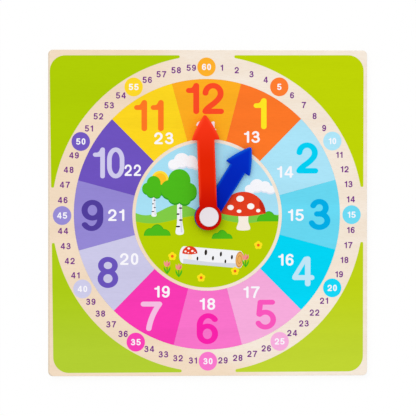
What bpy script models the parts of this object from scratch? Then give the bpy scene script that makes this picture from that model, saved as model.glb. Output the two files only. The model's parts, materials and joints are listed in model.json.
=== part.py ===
"""A wooden clock puzzle that lies face up on a table.

A square plywood board has a round recess in its face. Twelve hour pieces lie loose in the
recess round a fixed disc, and two hands turn on a two-part rivet that goes through the disc.
Metres, +Z up out of the face, +Y towards twelve o'clock, origin under the board's middle.
"""

import math

import bmesh
import bpy

# Board: the dial lies a little left of its middle and below it. The ring is what the recess
# leaves of the face at the left, and a piece's length runs from the dial's centre
BOARD_SIDE = 0.300
BOARD_CORNER_RADIUS = 0.0043
BACKING_THICKNESS = 0.0025
FACE_THICKNESS = 0.0037
DIAL_LEFT = 0.0015
DIAL_DROP = 0.0020
RING_WIDTH = 0.0235
PIECE_LENGTH = 0.0544
WOOD_EDGE_ROUND = 0.0003

# The dial's cuts follow its print, which is laid on a little askew. These shares say how far it
# leans to the left with height and rises to the right, how much it grows towards the board's top
# edge, and its width and height next to a true circle's
DIAL_LEAN_SHARE = 0.0050
DIAL_RISE_SHARE = 0.0028
DIAL_SPREAD_SHARE = 0.0078
DIAL_WIDTH_SHARE = 1.0053
DIAL_HEIGHT_SHARE = 0.9965

# Clearances: between faces that lie on each other, along a saw cut, and round the rivet
SEAT_GAP = 0.0003
CUT_GAP = 0.0003
RUNNING_GAP = 0.0003

# Hands
HAND_THICKNESS = 0.0025
HAND_BOSS_RADIUS = 0.0123
HAND_SHAFT_WIDTH = 0.0164
HAND_EDGE_ROUND = 0.0007
HEAD_LENGTH = 0.0231
HEAD_WIDTH = 0.0267
HEAD_SIDE_BULGE = 0.0012
HEAD_TIP_ROUND = 0.0019
HEAD_BARB_ROUND = 0.0009
HEAD_NECK_ROUND = 0.0004
MINUTE_HAND_REACH = 0.0939
HOUR_HAND_REACH = 0.0760

# Rivet and spacers: the rivet's hole lies a little left of the dial's centre and below it
PIVOT_LEFT = 0.0004
PIVOT_DROP = 0.0017
POST_RADIUS = 0.0040
POST_BORE_RADIUS = 0.0026
POST_FLANGE_RADIUS = 0.0080
POST_FLANGE_THICKNESS = 0.0010
CAP_RADIUS = 0.0090
CAP_THICKNESS = 0.0016
CAP_EDGE_ROUND = 0.0006
SHANK_LENGTH = 0.0080
SPACER_RADIUS = 0.0088
LOWER_SPACER_THICKNESS = 0.0015
MIDDLE_SPACER_THICKNESS = 0.0008

# How far a cutter runs past the faces that it goes through, and the distance that welds points
CUT_OVERRUN = 0.0020
WELD = 0.000001

# Angles, clockwise from twelve o'clock, and counts of facets
HOURS = 12
HOUR_HAND_ANGLE = 32.5
MINUTE_HAND_ANGLE = -2.1
STEPS_PER_HOUR = 8
CORNER_STEPS = 6
FILLET_STEPS = 4
HEAD_SIDE_STEPS = 6
ROUND_STEPS = 40
WOOD_EDGE_SEGMENTS = 1
HAND_EDGE_SEGMENTS = 2
SMOOTH_ANGLE = 35.0

# A fillet takes at most this share of the sides beside it
FILLET_SIDE_SHARE = 0.45

# Finishes: colour, roughness and metallic value
BIRCH = ((0.89, 0.78, 0.62), 0.60, 0.0)
DISC_PRINT = ((0.42, 0.70, 0.55), 0.50, 0.0)
RED_PLASTIC = ((0.80, 0.03, 0.01), 0.30, 0.0)
BLUE_PLASTIC = ((0.01, 0.05, 0.50), 0.30, 0.0)
WHITE_PLASTIC = ((0.80, 0.78, 0.79), 0.35, 0.0)
SPACER_PLASTIC = ((0.72, 0.72, 0.70), 0.45, 0.0)
PIECE_ROUGHNESS = 0.50
PIECE_COLOURS = {
    1: (0.97, 0.19, 0.02),
    2: (0.41, 0.77, 0.91),
    3: (0.15, 0.72, 0.91),
    4: (0.01, 0.66, 0.90),
    5: (0.92, 0.41, 0.71),
    6: (0.96, 0.18, 0.58),
    7: (0.96, 0.05, 0.47),
    8: (0.60, 0.56, 0.80),
    9: (0.31, 0.25, 0.67),
    10: (0.16, 0.09, 0.52),
    11: (0.98, 0.66, 0.02),
    12: (0.98, 0.42, 0.02),
}

# Heights of the stack, each worked out from the piece below it
FACE_LOW = BACKING_THICKNESS + SEAT_GAP
FACE_TOP = FACE_LOW + FACE_THICKNESS
LOWER_SPACER_LOW = FACE_TOP + SEAT_GAP
HOUR_HAND_LOW = LOWER_SPACER_LOW + LOWER_SPACER_THICKNESS + SEAT_GAP
MIDDLE_SPACER_LOW = HOUR_HAND_LOW + HAND_THICKNESS + SEAT_GAP
MINUTE_HAND_LOW = MIDDLE_SPACER_LOW + MIDDLE_SPACER_THICKNESS + SEAT_GAP
CAP_LOW = MINUTE_HAND_LOW + HAND_THICKNESS + SEAT_GAP
POST_TOP = CAP_LOW - SEAT_GAP
FLANGE_LOW = SEAT_GAP
FLANGE_POCKET_DEPTH = FLANGE_LOW + POST_FLANGE_THICKNESS + SEAT_GAP

# Radii from the board's edge inwards, and those that follow the piece that goes through
RECESS_RADIUS = BOARD_SIDE / 2 - DIAL_LEFT - RING_WIDTH
PIECE_OUTER_RADIUS = RECESS_RADIUS - CUT_GAP
PIECE_INNER_RADIUS = PIECE_OUTER_RADIUS - PIECE_LENGTH
DISC_RADIUS = PIECE_INNER_RADIUS - CUT_GAP
POST_HOLE_RADIUS = POST_RADIUS + RUNNING_GAP
FLANGE_POCKET_RADIUS = POST_FLANGE_RADIUS + RUNNING_GAP
SHANK_RADIUS = POST_BORE_RADIUS - RUNNING_GAP

BOARD_CENTRE = (0.0, 0.0)
DIAL_CENTRE = (-DIAL_LEFT, -DIAL_DROP)
PIVOT = (DIAL_CENTRE[0] - PIVOT_LEFT, DIAL_CENTRE[1] - PIVOT_DROP)


def clear_scene():
    for obj in list(bpy.data.objects):
        bpy.data.objects.remove(obj, do_unlink=True)


def finish(name, colour, roughness, metallic):
    material = bpy.data.materials.new(name)
    material.use_nodes = True
    shader = material.node_tree.nodes["Principled BSDF"]
    shader.inputs["Base Color"].default_value = (*colour, 1.0)
    shader.inputs["Roughness"].default_value = roughness
    shader.inputs["Metallic"].default_value = metallic
    return material


def polar(radius, angle):
    """The point at a radius and an angle in degrees clockwise from twelve o'clock."""
    turn = math.radians(angle)
    return radius * math.sin(turn), radius * math.cos(turn)


def circle(radius, steps):
    return [polar(radius, 360.0 * step / steps) for step in range(steps)]


def turned(outline, angle):
    """The outline turned clockwise about the origin by an angle in degrees."""
    sine = math.sin(math.radians(angle))
    cosine = math.cos(math.radians(angle))
    return [(x * cosine + y * sine, y * cosine - x * sine) for x, y in outline]


def laid_on_board(outline):
    """Where an outline of the dial, drawn about its centre, lies on the board."""
    placed = []
    for x, y in outline:
        across = x * DIAL_WIDTH_SHARE
        upward = y * DIAL_HEIGHT_SHARE
        growth = 1 + DIAL_SPREAD_SHARE * upward / (BOARD_SIDE / 2)
        placed.append(
            (
                across * growth - DIAL_LEAN_SHARE * upward + DIAL_CENTRE[0],
                upward * growth + DIAL_RISE_SHARE * across + DIAL_CENTRE[1],
            )
        )
    return placed


def filleted(corners, steps):
    """The outline of a closed polygon of (x, y, radius) corners, each rounded by its radius."""
    outline = []
    for index, (x, y, radius) in enumerate(corners):
        before = corners[index - 1]
        after = corners[(index + 1) % len(corners)]
        sides = [(before[0] - x, before[1] - y), (after[0] - x, after[1] - y)]
        lengths = [math.hypot(*side) for side in sides]
        units = [(side[0] / length, side[1] / length) for side, length in zip(sides, lengths)]
        opening = math.acos(units[0][0] * units[1][0] + units[0][1] * units[1][1])
        reach = min(radius / math.tan(opening / 2), FILLET_SIDE_SHARE * min(lengths))
        if reach <= WELD:
            outline.append((x, y))
            continue
        round_radius = reach * math.tan(opening / 2)
        middle = (units[0][0] + units[1][0], units[0][1] + units[1][1])
        scale = math.hypot(reach, round_radius) / math.hypot(*middle)
        centre = (x + middle[0] * scale, y + middle[1] * scale)
        start = math.atan2(y + units[0][1] * reach - centre[1], x + units[0][0] * reach - centre[0])
        end = math.atan2(y + units[1][1] * reach - centre[1], x + units[1][0] * reach - centre[0])
        sweep = (end - start + math.pi) % math.tau - math.pi
        for step in range(steps + 1):
            turn = start + sweep * step / steps
            outline.append(
                (centre[0] + round_radius * math.cos(turn), centre[1] + round_radius * math.sin(turn))
            )
    return outline


def board_outline():
    half = BOARD_SIDE / 2
    corners = [(half, half), (half, -half), (-half, -half), (-half, half)]
    return filleted([(x, y, BOARD_CORNER_RADIUS) for x, y in corners], CORNER_STEPS)


def piece_outline():
    """The twelve o'clock piece: half a cut is taken off along each straight side."""
    half_hour = 180.0 / HOURS
    step_angle = 2 * half_hour / STEPS_PER_HOUR
    outline = []
    for radius, side in ((PIECE_OUTER_RADIUS, 1), (PIECE_INNER_RADIUS, -1)):
        end = half_hour - math.degrees(math.asin(CUT_GAP / 2 / radius))
        inner = [step_angle * step - half_hour for step in range(1, STEPS_PER_HOUR)]
        outline += [polar(radius, side * angle) for angle in (-end, *inner, end)]
    return outline


def hand_outline(reach):
    """An arrow along +Y from a round boss about the origin, with slightly bulging head sides."""
    shaft = HAND_SHAFT_WIDTH / 2
    neck = reach - HEAD_LENGTH
    head_half = HEAD_WIDTH / 2
    half_point = math.atan2(head_half + 4 * HEAD_SIDE_BULGE, HEAD_LENGTH)
    apex = reach + HEAD_TIP_ROUND * (1 / math.sin(half_point) - 1)
    side = [(shaft, neck, HEAD_NECK_ROUND), (head_half, neck, HEAD_BARB_ROUND)]
    for step in range(1, HEAD_SIDE_STEPS):
        along = step / HEAD_SIDE_STEPS
        bulge = HEAD_SIDE_BULGE * 4 * along * (1 - along)
        side.append((head_half * (1 - along) + bulge, neck + (apex - neck) * along, 0.0))
    tip = [(0.0, apex, HEAD_TIP_ROUND)]
    other_side = [(-x, y, radius) for x, y, radius in reversed(side)]
    junction = math.degrees(math.asin(shaft / HAND_BOSS_RADIUS))
    sweep = 360.0 - 2 * junction
    turns = [junction + sweep * step / ROUND_STEPS for step in range(ROUND_STEPS + 1)]
    boss = [(*polar(HAND_BOSS_RADIUS, -turn), 0.0) for turn in turns]
    return filleted(side + tip + other_side + boss, FILLET_STEPS)


def plate_mesh(name, outline, low, thickness):
    """The outline as a flat solid whose lower face lies at low."""
    shape = bmesh.new()
    rim = [shape.verts.new((x, y, low)) for x, y in outline]
    base = shape.faces.new(rim)
    raised = bmesh.ops.extrude_face_region(shape, geom=[base])["geom"]
    top = [item for item in raised if isinstance(item, bmesh.types.BMVert)]
    bmesh.ops.translate(shape, verts=top, vec=(0.0, 0.0, thickness))
    bmesh.ops.recalc_face_normals(shape, faces=shape.faces)
    mesh = bpy.data.meshes.new(name)
    shape.to_mesh(mesh)
    shape.free()
    return mesh


def turned_mesh(name, profile):
    """The (radius, height) profile turned about Z, its first and last points joined or on the axis."""
    shape = bmesh.new()
    points = [shape.verts.new((radius, 0.0, height)) for radius, height in profile]
    pairs = list(zip(points, points[1:]))
    if profile[0][0] > 0:
        pairs.append((points[-1], points[0]))
    edges = [shape.edges.new(pair) for pair in pairs]
    bmesh.ops.spin(
        shape,
        geom=points + edges,
        cent=(0.0, 0.0, 0.0),
        axis=(0.0, 0.0, 1.0),
        angle=math.tau,
        steps=ROUND_STEPS,
    )
    bmesh.ops.remove_doubles(shape, verts=shape.verts, dist=WELD)
    bmesh.ops.recalc_face_normals(shape, faces=shape.faces)
    mesh = bpy.data.meshes.new(name)
    shape.to_mesh(mesh)
    shape.free()
    return mesh


def place(name, mesh, material, at=BOARD_CENTRE, angle=0.0):
    """An object of the mesh at a point of the board, turned clockwise by an angle in degrees."""
    obj = bpy.data.objects.new(name, mesh)
    bpy.context.scene.collection.objects.link(obj)
    if not mesh.materials:
        mesh.materials.append(None)
    obj.material_slots[0].link = "OBJECT"
    obj.material_slots[0].material = material
    obj.location = (*at, 0.0)
    obj.rotation_euler = (0.0, 0.0, -math.radians(angle))
    return obj


def soften(obj, width, segments):
    """A small round along every sharp edge, and smooth shading between the facets of a curve."""
    bevel = obj.modifiers.new("softened_edges", "BEVEL")
    bevel.width = width
    bevel.segments = segments
    bevel.limit_method = "ANGLE"
    bevel.angle_limit = math.radians(SMOOTH_ANGLE)
    shade(obj)


def shade(obj):
    obj.data.shade_smooth()
    obj.data.set_sharp_from_angle(angle=math.radians(SMOOTH_ANGLE))


def cut_out(obj, outline, low, high, at=BOARD_CENTRE):
    """Takes an outline about a point out of the object, between two heights."""
    name = f"{obj.name}_cutter_{len(obj.modifiers)}"
    cutter = bpy.data.objects.new(name, plate_mesh(name, outline, low, high - low))
    bpy.context.scene.collection.objects.link(cutter)
    cutter.location = (*at, 0.0)
    cutter.hide_render = True
    cutter.display_type = "WIRE"
    hole = obj.modifiers.new(name, "BOOLEAN")
    hole.operation = "DIFFERENCE"
    hole.object = cutter


def make_board(birch, disc_print):
    """The backing, the face with its round opening, and the disc fixed in the middle."""
    backing = place(
        "backing_board",
        plate_mesh("backing_board", board_outline(), 0.0, BACKING_THICKNESS),
        birch,
    )
    post_hole = circle(POST_HOLE_RADIUS, ROUND_STEPS)
    pocket = circle(FLANGE_POCKET_RADIUS, ROUND_STEPS)
    cut_out(backing, post_hole, -CUT_OVERRUN, FACE_TOP, PIVOT)
    cut_out(backing, pocket, -CUT_OVERRUN, FLANGE_POCKET_DEPTH, PIVOT)
    soften(backing, WOOD_EDGE_ROUND, WOOD_EDGE_SEGMENTS)

    face = place(
        "face_frame",
        plate_mesh("face_frame", board_outline(), FACE_LOW, FACE_THICKNESS),
        birch,
    )
    dial_steps = HOURS * STEPS_PER_HOUR
    face_span = (FACE_LOW - CUT_OVERRUN, FACE_TOP + CUT_OVERRUN)
    cut_out(face, laid_on_board(circle(RECESS_RADIUS, dial_steps)), *face_span)
    soften(face, WOOD_EDGE_ROUND, WOOD_EDGE_SEGMENTS)

    disc_outline = laid_on_board(circle(DISC_RADIUS, dial_steps))
    disc = place(
        "picture_disc",
        plate_mesh("picture_disc", disc_outline, FACE_LOW, FACE_THICKNESS),
        disc_print,
    )
    cut_out(disc, post_hole, *face_span, PIVOT)
    soften(disc, WOOD_EDGE_ROUND, WOOD_EDGE_SEGMENTS)


def make_hour_pieces():
    """Twelve pieces of one design, each turned to its hour and in its own colour."""
    for hour in range(1, HOURS + 1):
        name = f"hour_piece_{hour:02d}"
        outline = laid_on_board(turned(piece_outline(), 360.0 * hour / HOURS))
        paint = finish(name, PIECE_COLOURS[hour], PIECE_ROUGHNESS, 0.0)
        piece = place(name, plate_mesh(name, outline, FACE_LOW, FACE_THICKNESS), paint)
        soften(piece, WOOD_EDGE_ROUND, WOOD_EDGE_SEGMENTS)


def make_hand(name, reach, low, angle, material):
    mesh = plate_mesh(name, hand_outline(reach), low, HAND_THICKNESS)
    hand = place(name, mesh, material, PIVOT, angle)
    hole_span = (low - CUT_OVERRUN, low + HAND_THICKNESS + CUT_OVERRUN)
    cut_out(hand, circle(POST_HOLE_RADIUS, ROUND_STEPS), *hole_span, PIVOT)
    soften(hand, HAND_EDGE_ROUND, HAND_EDGE_SEGMENTS)


def make_spacer(name, low, thickness, material):
    high = low + thickness
    profile = [
        (POST_HOLE_RADIUS, high),
        (SPACER_RADIUS, high),
        (SPACER_RADIUS, low),
        (POST_HOLE_RADIUS, low),
    ]
    shade(place(name, turned_mesh(name, profile), material, PIVOT))


def make_rivet(material):
    """A flanged tube from the back, and a capped shank that plugs into it from the front."""
    flange_top = FLANGE_LOW + POST_FLANGE_THICKNESS
    post_profile = [
        (POST_BORE_RADIUS, POST_TOP),
        (POST_RADIUS, POST_TOP),
        (POST_RADIUS, flange_top),
        (POST_FLANGE_RADIUS, flange_top),
        (POST_FLANGE_RADIUS, FLANGE_LOW),
        (POST_BORE_RADIUS, FLANGE_LOW),
    ]
    shade(place("rivet_post", turned_mesh("rivet_post", post_profile), material, PIVOT))

    cap_top = CAP_LOW + CAP_THICKNESS
    rim = []
    for step in range(FILLET_STEPS + 1):
        turn = math.pi / 2 * step / FILLET_STEPS
        rim_radius = CAP_RADIUS - CAP_EDGE_ROUND * (1 - math.sin(turn))
        rim.append((rim_radius, cap_top - CAP_EDGE_ROUND * (1 - math.cos(turn))))
    cap_profile = [
        (0.0, cap_top),
        *rim,
        (CAP_RADIUS, CAP_LOW),
        (SHANK_RADIUS, CAP_LOW),
        (SHANK_RADIUS, CAP_LOW - SHANK_LENGTH),
        (0.0, CAP_LOW - SHANK_LENGTH),
    ]
    shade(place("rivet_cap", turned_mesh("rivet_cap", cap_profile), material, PIVOT))


def main():
    clear_scene()
    birch = finish("birch_plywood", *BIRCH)
    make_board(birch, finish("disc_print", *DISC_PRINT))
    make_hour_pieces()
    blue = finish("blue_plastic", *BLUE_PLASTIC)
    make_hand("hour_hand", HOUR_HAND_REACH, HOUR_HAND_LOW, HOUR_HAND_ANGLE, blue)
    red = finish("red_plastic", *RED_PLASTIC)
    make_hand("minute_hand", MINUTE_HAND_REACH, MINUTE_HAND_LOW, MINUTE_HAND_ANGLE, red)
    spacer_plastic = finish("spacer_plastic", *SPACER_PLASTIC)
    make_spacer("lower_spacer", LOWER_SPACER_LOW, LOWER_SPACER_THICKNESS, spacer_plastic)
    make_spacer("middle_spacer", MIDDLE_SPACER_LOW, MIDDLE_SPACER_THICKNESS, spacer_plastic)
    make_rivet(finish("white_plastic", *WHITE_PLASTIC))


main()
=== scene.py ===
"""The looks of a wooden clock puzzle: birch plywood, printed inks and moulded plastic.

Metres, +Z up out of the face, +Y towards twelve o'clock, origin under the board's middle.
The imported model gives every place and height, and each visible piece here stands for one
of its nodes, or is printed on one.
"""

import json
import logging
import math
from collections.abc import Callable, Sequence
from dataclasses import dataclass, field, replace
from enum import Enum

import bmesh
import bpy
from mathutils import Matrix, Vector
from mathutils.geometry import delaunay_2d_cdt

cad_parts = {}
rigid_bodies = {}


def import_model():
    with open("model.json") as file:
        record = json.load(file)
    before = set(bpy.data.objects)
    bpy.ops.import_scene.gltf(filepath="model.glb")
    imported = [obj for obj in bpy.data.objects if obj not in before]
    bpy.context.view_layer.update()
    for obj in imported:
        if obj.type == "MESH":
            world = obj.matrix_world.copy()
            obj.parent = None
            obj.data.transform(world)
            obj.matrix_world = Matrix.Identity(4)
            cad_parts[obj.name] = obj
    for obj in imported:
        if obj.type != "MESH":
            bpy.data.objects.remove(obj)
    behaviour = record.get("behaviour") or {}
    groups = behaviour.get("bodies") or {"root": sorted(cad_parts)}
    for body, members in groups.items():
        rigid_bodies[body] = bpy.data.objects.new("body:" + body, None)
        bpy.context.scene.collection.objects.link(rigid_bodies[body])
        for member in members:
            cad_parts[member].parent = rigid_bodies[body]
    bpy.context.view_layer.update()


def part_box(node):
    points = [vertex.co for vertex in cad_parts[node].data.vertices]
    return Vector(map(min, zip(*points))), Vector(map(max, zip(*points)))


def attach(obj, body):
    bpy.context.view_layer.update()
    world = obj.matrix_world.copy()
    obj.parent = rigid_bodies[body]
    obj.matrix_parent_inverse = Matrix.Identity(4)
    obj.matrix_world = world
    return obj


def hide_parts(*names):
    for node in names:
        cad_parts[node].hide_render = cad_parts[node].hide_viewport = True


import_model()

Point = tuple[float, float]
Loop = list[Point]
Rows = list[tuple[float, float]]
Colour = tuple[float, float, float]

LOG = logging.getLogger("clock_puzzle")

# Units, and the distance under which two points are one
MM = 0.001
WELD = 0.0000001
ORIGIN: Point = (0.0, 0.0)

# Edges between faces that meet at more than this angle stay sharp in the shading
SHARP_ANGLE = 35.0

# Width of the flat ring round a cap, which keeps the edge's shading off the rest of it
CAP_RIM = 0.1 * MM

# Count of hours on the dial, of minutes round it, and of minutes from one hour to the next
HOURS = 12
MINUTES = 60
MINUTES_PER_HOUR = 5


def mm(*lengths: float) -> tuple[float, ...]:
    """Millimetres as metres."""
    return tuple(length * MM for length in lengths)


def polar(radius: float, angle: float) -> Point:
    """The point at a radius and an angle in degrees clockwise from twelve o'clock."""
    turn = math.radians(angle)
    return radius * math.sin(turn), radius * math.cos(turn)


def circle(radius: float, steps: int, centre: Point = ORIGIN) -> Loop:
    """A circle's points, anticlockwise."""
    places = [polar(radius, -360.0 * step / steps) for step in range(steps)]
    return [(centre[0] + x, centre[1] + y) for x, y in places]


def arc(centre: Point, radii: Point, start: float, end: float, steps: int) -> Loop:
    """Points along an ellipse, both ends included.

    Args:
        centre: The ellipse's middle.
        radii: Its half width and half height.
        start: First angle, in degrees anticlockwise from +X.
        end: Last angle, which may be less than the first.
        steps: Count of chords.

    Returns:
        The points from start to end.
    """
    turns = [math.radians(start + (end - start) * step / steps) for step in range(steps + 1)]
    x, y = centre
    return [(x + radii[0] * math.cos(turn), y + radii[1] * math.sin(turn)) for turn in turns]


def bent(start: Point, pull: Point, end: Point, steps: int) -> Loop:
    """A curve from one point to another that is drawn towards a third.

    Args:
        start: The first point.
        pull: The point that draws it.
        end: The last point.
        steps: Count of chords.

    Returns:
        The points from start to end.
    """
    curve = []
    for t in (step / steps for step in range(steps + 1)):
        near, middle, far = (1 - t) ** 2, 2 * t * (1 - t), t * t
        curve.append(tuple(near * a + middle * b + far * c for a, b, c in zip(start, pull, end)))
    return curve


def smooth(corners: Loop, steps: int) -> Loop:
    """A closed curve through the corners.

    Args:
        corners: The points that the curve passes, in order.
        steps: Count of chords from one corner to the next.

    Returns:
        The curve's points.
    """
    count = len(corners)
    outline = []
    for index in range(count):
        around = [corners[(index + offset) % count] for offset in (-1, 0, 1, 2)]
        for t in (step / steps for step in range(steps)):
            shares = (
                (2 - t) * t * t - t,
                2 + (3 * t - 5) * t * t,
                t + (4 - 3 * t) * t * t,
                (t - 1) * t * t,
            )
            x, y = (sum(share * c for share, c in zip(shares, line)) / 2 for line in zip(*around))
            outline.append((x, y))
    return outline


def moved(outline: Loop, place: Point, angle: float = 0.0, scale: float = 1.0) -> Loop:
    """Scales an outline, turns it and puts it at a place.

    Args:
        outline: The outline about the origin.
        place: Where the origin goes.
        angle: The turn in degrees, anticlockwise.
        scale: The scale.

    Returns:
        The moved outline.
    """
    cosine = math.cos(math.radians(angle)) * scale
    sine = math.sin(math.radians(angle)) * scale
    return [(place[0] + x * cosine - y * sine, place[1] + x * sine + y * cosine) for x, y in outline]


def filleted(corners: list[tuple[float, float, float]], steps: int) -> Loop:
    """The outline of a closed polygon whose corners are rounded.

    A round takes up to nearly half of a side that two rounds share, or a whole side.

    Args:
        corners: Each corner's x, y and radius.
        steps: Count of chords on each round.

    Returns:
        The outline, in the corners' order.
    """
    shared_side, own_side = 0.48, 0.96
    outline = []
    for index, (x, y, radius) in enumerate(corners):
        before = corners[index - 1]
        after = corners[(index + 1) % len(corners)]
        sides = [(before[0] - x, before[1] - y), (after[0] - x, after[1] - y)]
        lengths = [math.hypot(*side) for side in sides]
        units = [(side[0] / length, side[1] / length) for side, length in zip(sides, lengths)]
        across = units[0][0] * units[1][0] + units[0][1] * units[1][1]
        opening = math.acos(max(-1.0, across))
        room = [
            length * (shared_side if corner[2] > 0 else own_side)
            for length, corner in zip(lengths, (before, after))
        ]
        reach = min(radius / math.tan(opening / 2), *room)
        if reach <= WELD:
            outline.append((x, y))
            continue
        round_radius = reach * math.tan(opening / 2)
        middle = (units[0][0] + units[1][0], units[0][1] + units[1][1])
        scale = math.hypot(reach, round_radius) / math.hypot(*middle)
        centre = (x + middle[0] * scale, y + middle[1] * scale)
        ends = [(x + unit[0] * reach, y + unit[1] * reach) for unit in units]
        start, end = (math.atan2(p[1] - centre[1], p[0] - centre[0]) for p in ends)
        sweep = (end - start + math.pi) % math.tau - math.pi
        radii = (round_radius, round_radius)
        outline += arc(centre, radii, math.degrees(start), math.degrees(start + sweep), steps)
    return outline


def signed_area(loop: Loop) -> float:
    """The area inside the loop, which is negative on one that runs clockwise."""
    pairs = zip(loop, loop[1:] + loop[:1])
    return sum(a[0] * b[1] - a[1] * b[0] for a, b in pairs) / 2


def inset(loop: Loop, distance: float) -> Loop:
    """Draws a loop in to its left, which is inwards on one that runs anticlockwise.

    Args:
        loop: The loop.
        distance: How far each side moves.

    Returns:
        The drawn loop, with as many points.
    """
    drawn = []
    for index, (x, y) in enumerate(loop):
        normals = []
        for a, b in ((loop[index - 1], (x, y)), ((x, y), loop[(index + 1) % len(loop)])):
            length = math.hypot(b[0] - a[0], b[1] - a[1])
            normals.append(((a[1] - b[1]) / length, (b[0] - a[0]) / length))
        (ax, ay), (bx, by) = normals
        scale = distance / (1 + ax * bx + ay * by)
        drawn.append((x + (ax + bx) * scale, y + (ay + by) * scale))
    return drawn


def ribbon(path: Loop, width: float, cap_steps: int) -> Loop:
    """The outline of a stroke with round ends.

    Args:
        path: The stroke's middle line, with no corner sharper than about 30 degrees.
        width: The stroke's width.
        cap_steps: Count of chords on each round end.

    Returns:
        The outline, anticlockwise.
    """
    ahead = [math.atan2(b[1] - a[1], b[0] - a[0]) for a, b in zip(path, path[1:])]
    sides: dict[int, Loop] = {1: [], -1: []}
    for index in range(1, len(path) - 1):
        change = (ahead[index] - ahead[index - 1] + math.pi) % math.tau - math.pi
        turn = ahead[index - 1] + change / 2
        reach = width / 2 / math.cos(change / 2)
        for side, points in sides.items():
            x = path[index][0] - side * reach * math.sin(turn)
            points.append((x, path[index][1] + side * reach * math.cos(turn)))
    radii = (width / 2, width / 2)
    first, last = math.degrees(ahead[0]), math.degrees(ahead[-1])
    start_cap = arc(path[0], radii, first + 90, first + 270, cap_steps)
    end_cap = arc(path[-1], radii, last - 90, last + 90, cap_steps)
    return start_cap + sides[-1] + end_cap + sides[1][::-1]


@dataclass
class FlatFaces:
    """Flat faces that overlapping outlines divide the plane into.

    Attributes:
        points: The faces' corners.
        faces: Each face's corner numbers and its label.
        sources: For each corner, the number of the outlines' point that it is, or -1.
    """

    points: list[Point]
    faces: list[tuple[list[int], int]]
    sources: list[int]

    @classmethod
    def of(cls, layers: Sequence[tuple[Loop, int]], clip: bool = False) -> "FlatFaces":
        """Divides the layers, of which a later one covers the earlier ones.

        Args:
            layers: Each outline and its label. A label under zero is a hole.
            clip: Whether only what lies on the first layer stays.

        Returns:
            The faces that aren't holes.
        """
        corners: list[Vector] = []
        polygons = []
        for outline, _ in layers:
            numbers = list(range(len(corners), len(corners) + len(outline)))
            polygons.append(numbers if signed_area(outline) > 0 else numbers[::-1])
            corners += [Vector(point) for point in outline]
        found = delaunay_2d_cdt(corners, [], polygons, 0, WELD, True)
        faces = []
        for face, origins in zip(found[2], found[5]):
            label = layers[max(origins)][1] if origins else -1
            if label >= 0 and (0 in origins or not clip):
                faces.append((list(face), label))
        sources = [origins[0] if origins else -1 for origins in found[3]]
        return cls([tuple(point) for point in found[0]], faces, sources)


def kept_mesh(name: str, shape: bmesh.types.BMesh, smooth_faces: bool = True) -> bpy.types.Mesh:
    """Makes a mesh of a working shape, with its faces outwards, and frees the shape.

    Args:
        name: The mesh's name.
        shape: The shape.
        smooth_faces: Whether faces that meet at a small angle are shaded as one.

    Returns:
        The mesh.
    """
    bmesh.ops.recalc_face_normals(shape, faces=shape.faces)
    if shape.calc_volume(signed=True) < 0:
        bmesh.ops.reverse_faces(shape, faces=shape.faces)
    mesh = bpy.data.meshes.new(name)
    shape.to_mesh(mesh)
    shape.free()
    if smooth_faces:
        mesh.shade_smooth()
        mesh.set_sharp_from_angle(angle=math.radians(SHARP_ANGLE))
    return mesh


def film_mesh(
    name: str, layers: Sequence[tuple[Loop, int]], low: float, high: float, clip: bool = False
) -> bpy.types.Mesh:
    """A thin closed layer of print, whose faces take the layers' labels as material numbers.

    Args:
        name: The mesh's name.
        layers: Outlines and labels, as FlatFaces.of takes them.
        low: Height of the underside, a little inside what the print lies on.
        high: Height of the top.
        clip: Whether the first layer bounds the rest.

    Returns:
        The mesh.
    """
    flat = FlatFaces.of(layers, clip)
    shape = bmesh.new()
    corners = {index: None for face, _ in flat.faces for index in face}
    for index in corners:
        corners[index] = shape.verts.new((*flat.points[index], low))
    for face, label in flat.faces:
        shape.faces.new([corners[index] for index in face]).material_index = label
    raised = bmesh.ops.extrude_face_region(shape, geom=shape.faces[:])["geom"]
    top = [item for item in raised if isinstance(item, bmesh.types.BMVert)]
    bmesh.ops.translate(shape, verts=top, vec=(0.0, 0.0, high - low))
    return kept_mesh(name, shape, smooth_faces=False)


def rounded_rows(low: float, high: float, radius: float, steps: int) -> Rows:
    """A wall with a round at its foot and at its head.

    Args:
        low: Height of the foot.
        high: Height of the head.
        radius: Radius of both rounds.
        steps: Count of chords on each.

    Returns:
        The wall's rows of inset and height, from the foot up.
    """
    rows = []
    for step in range(steps + 1):
        turn = math.pi / 2 * step / steps
        rows.append((radius * (1 - math.sin(turn)), low + radius * (1 - math.cos(turn))))
    return rows + [(depth, low + high - height) for depth, height in reversed(rows)]


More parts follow.
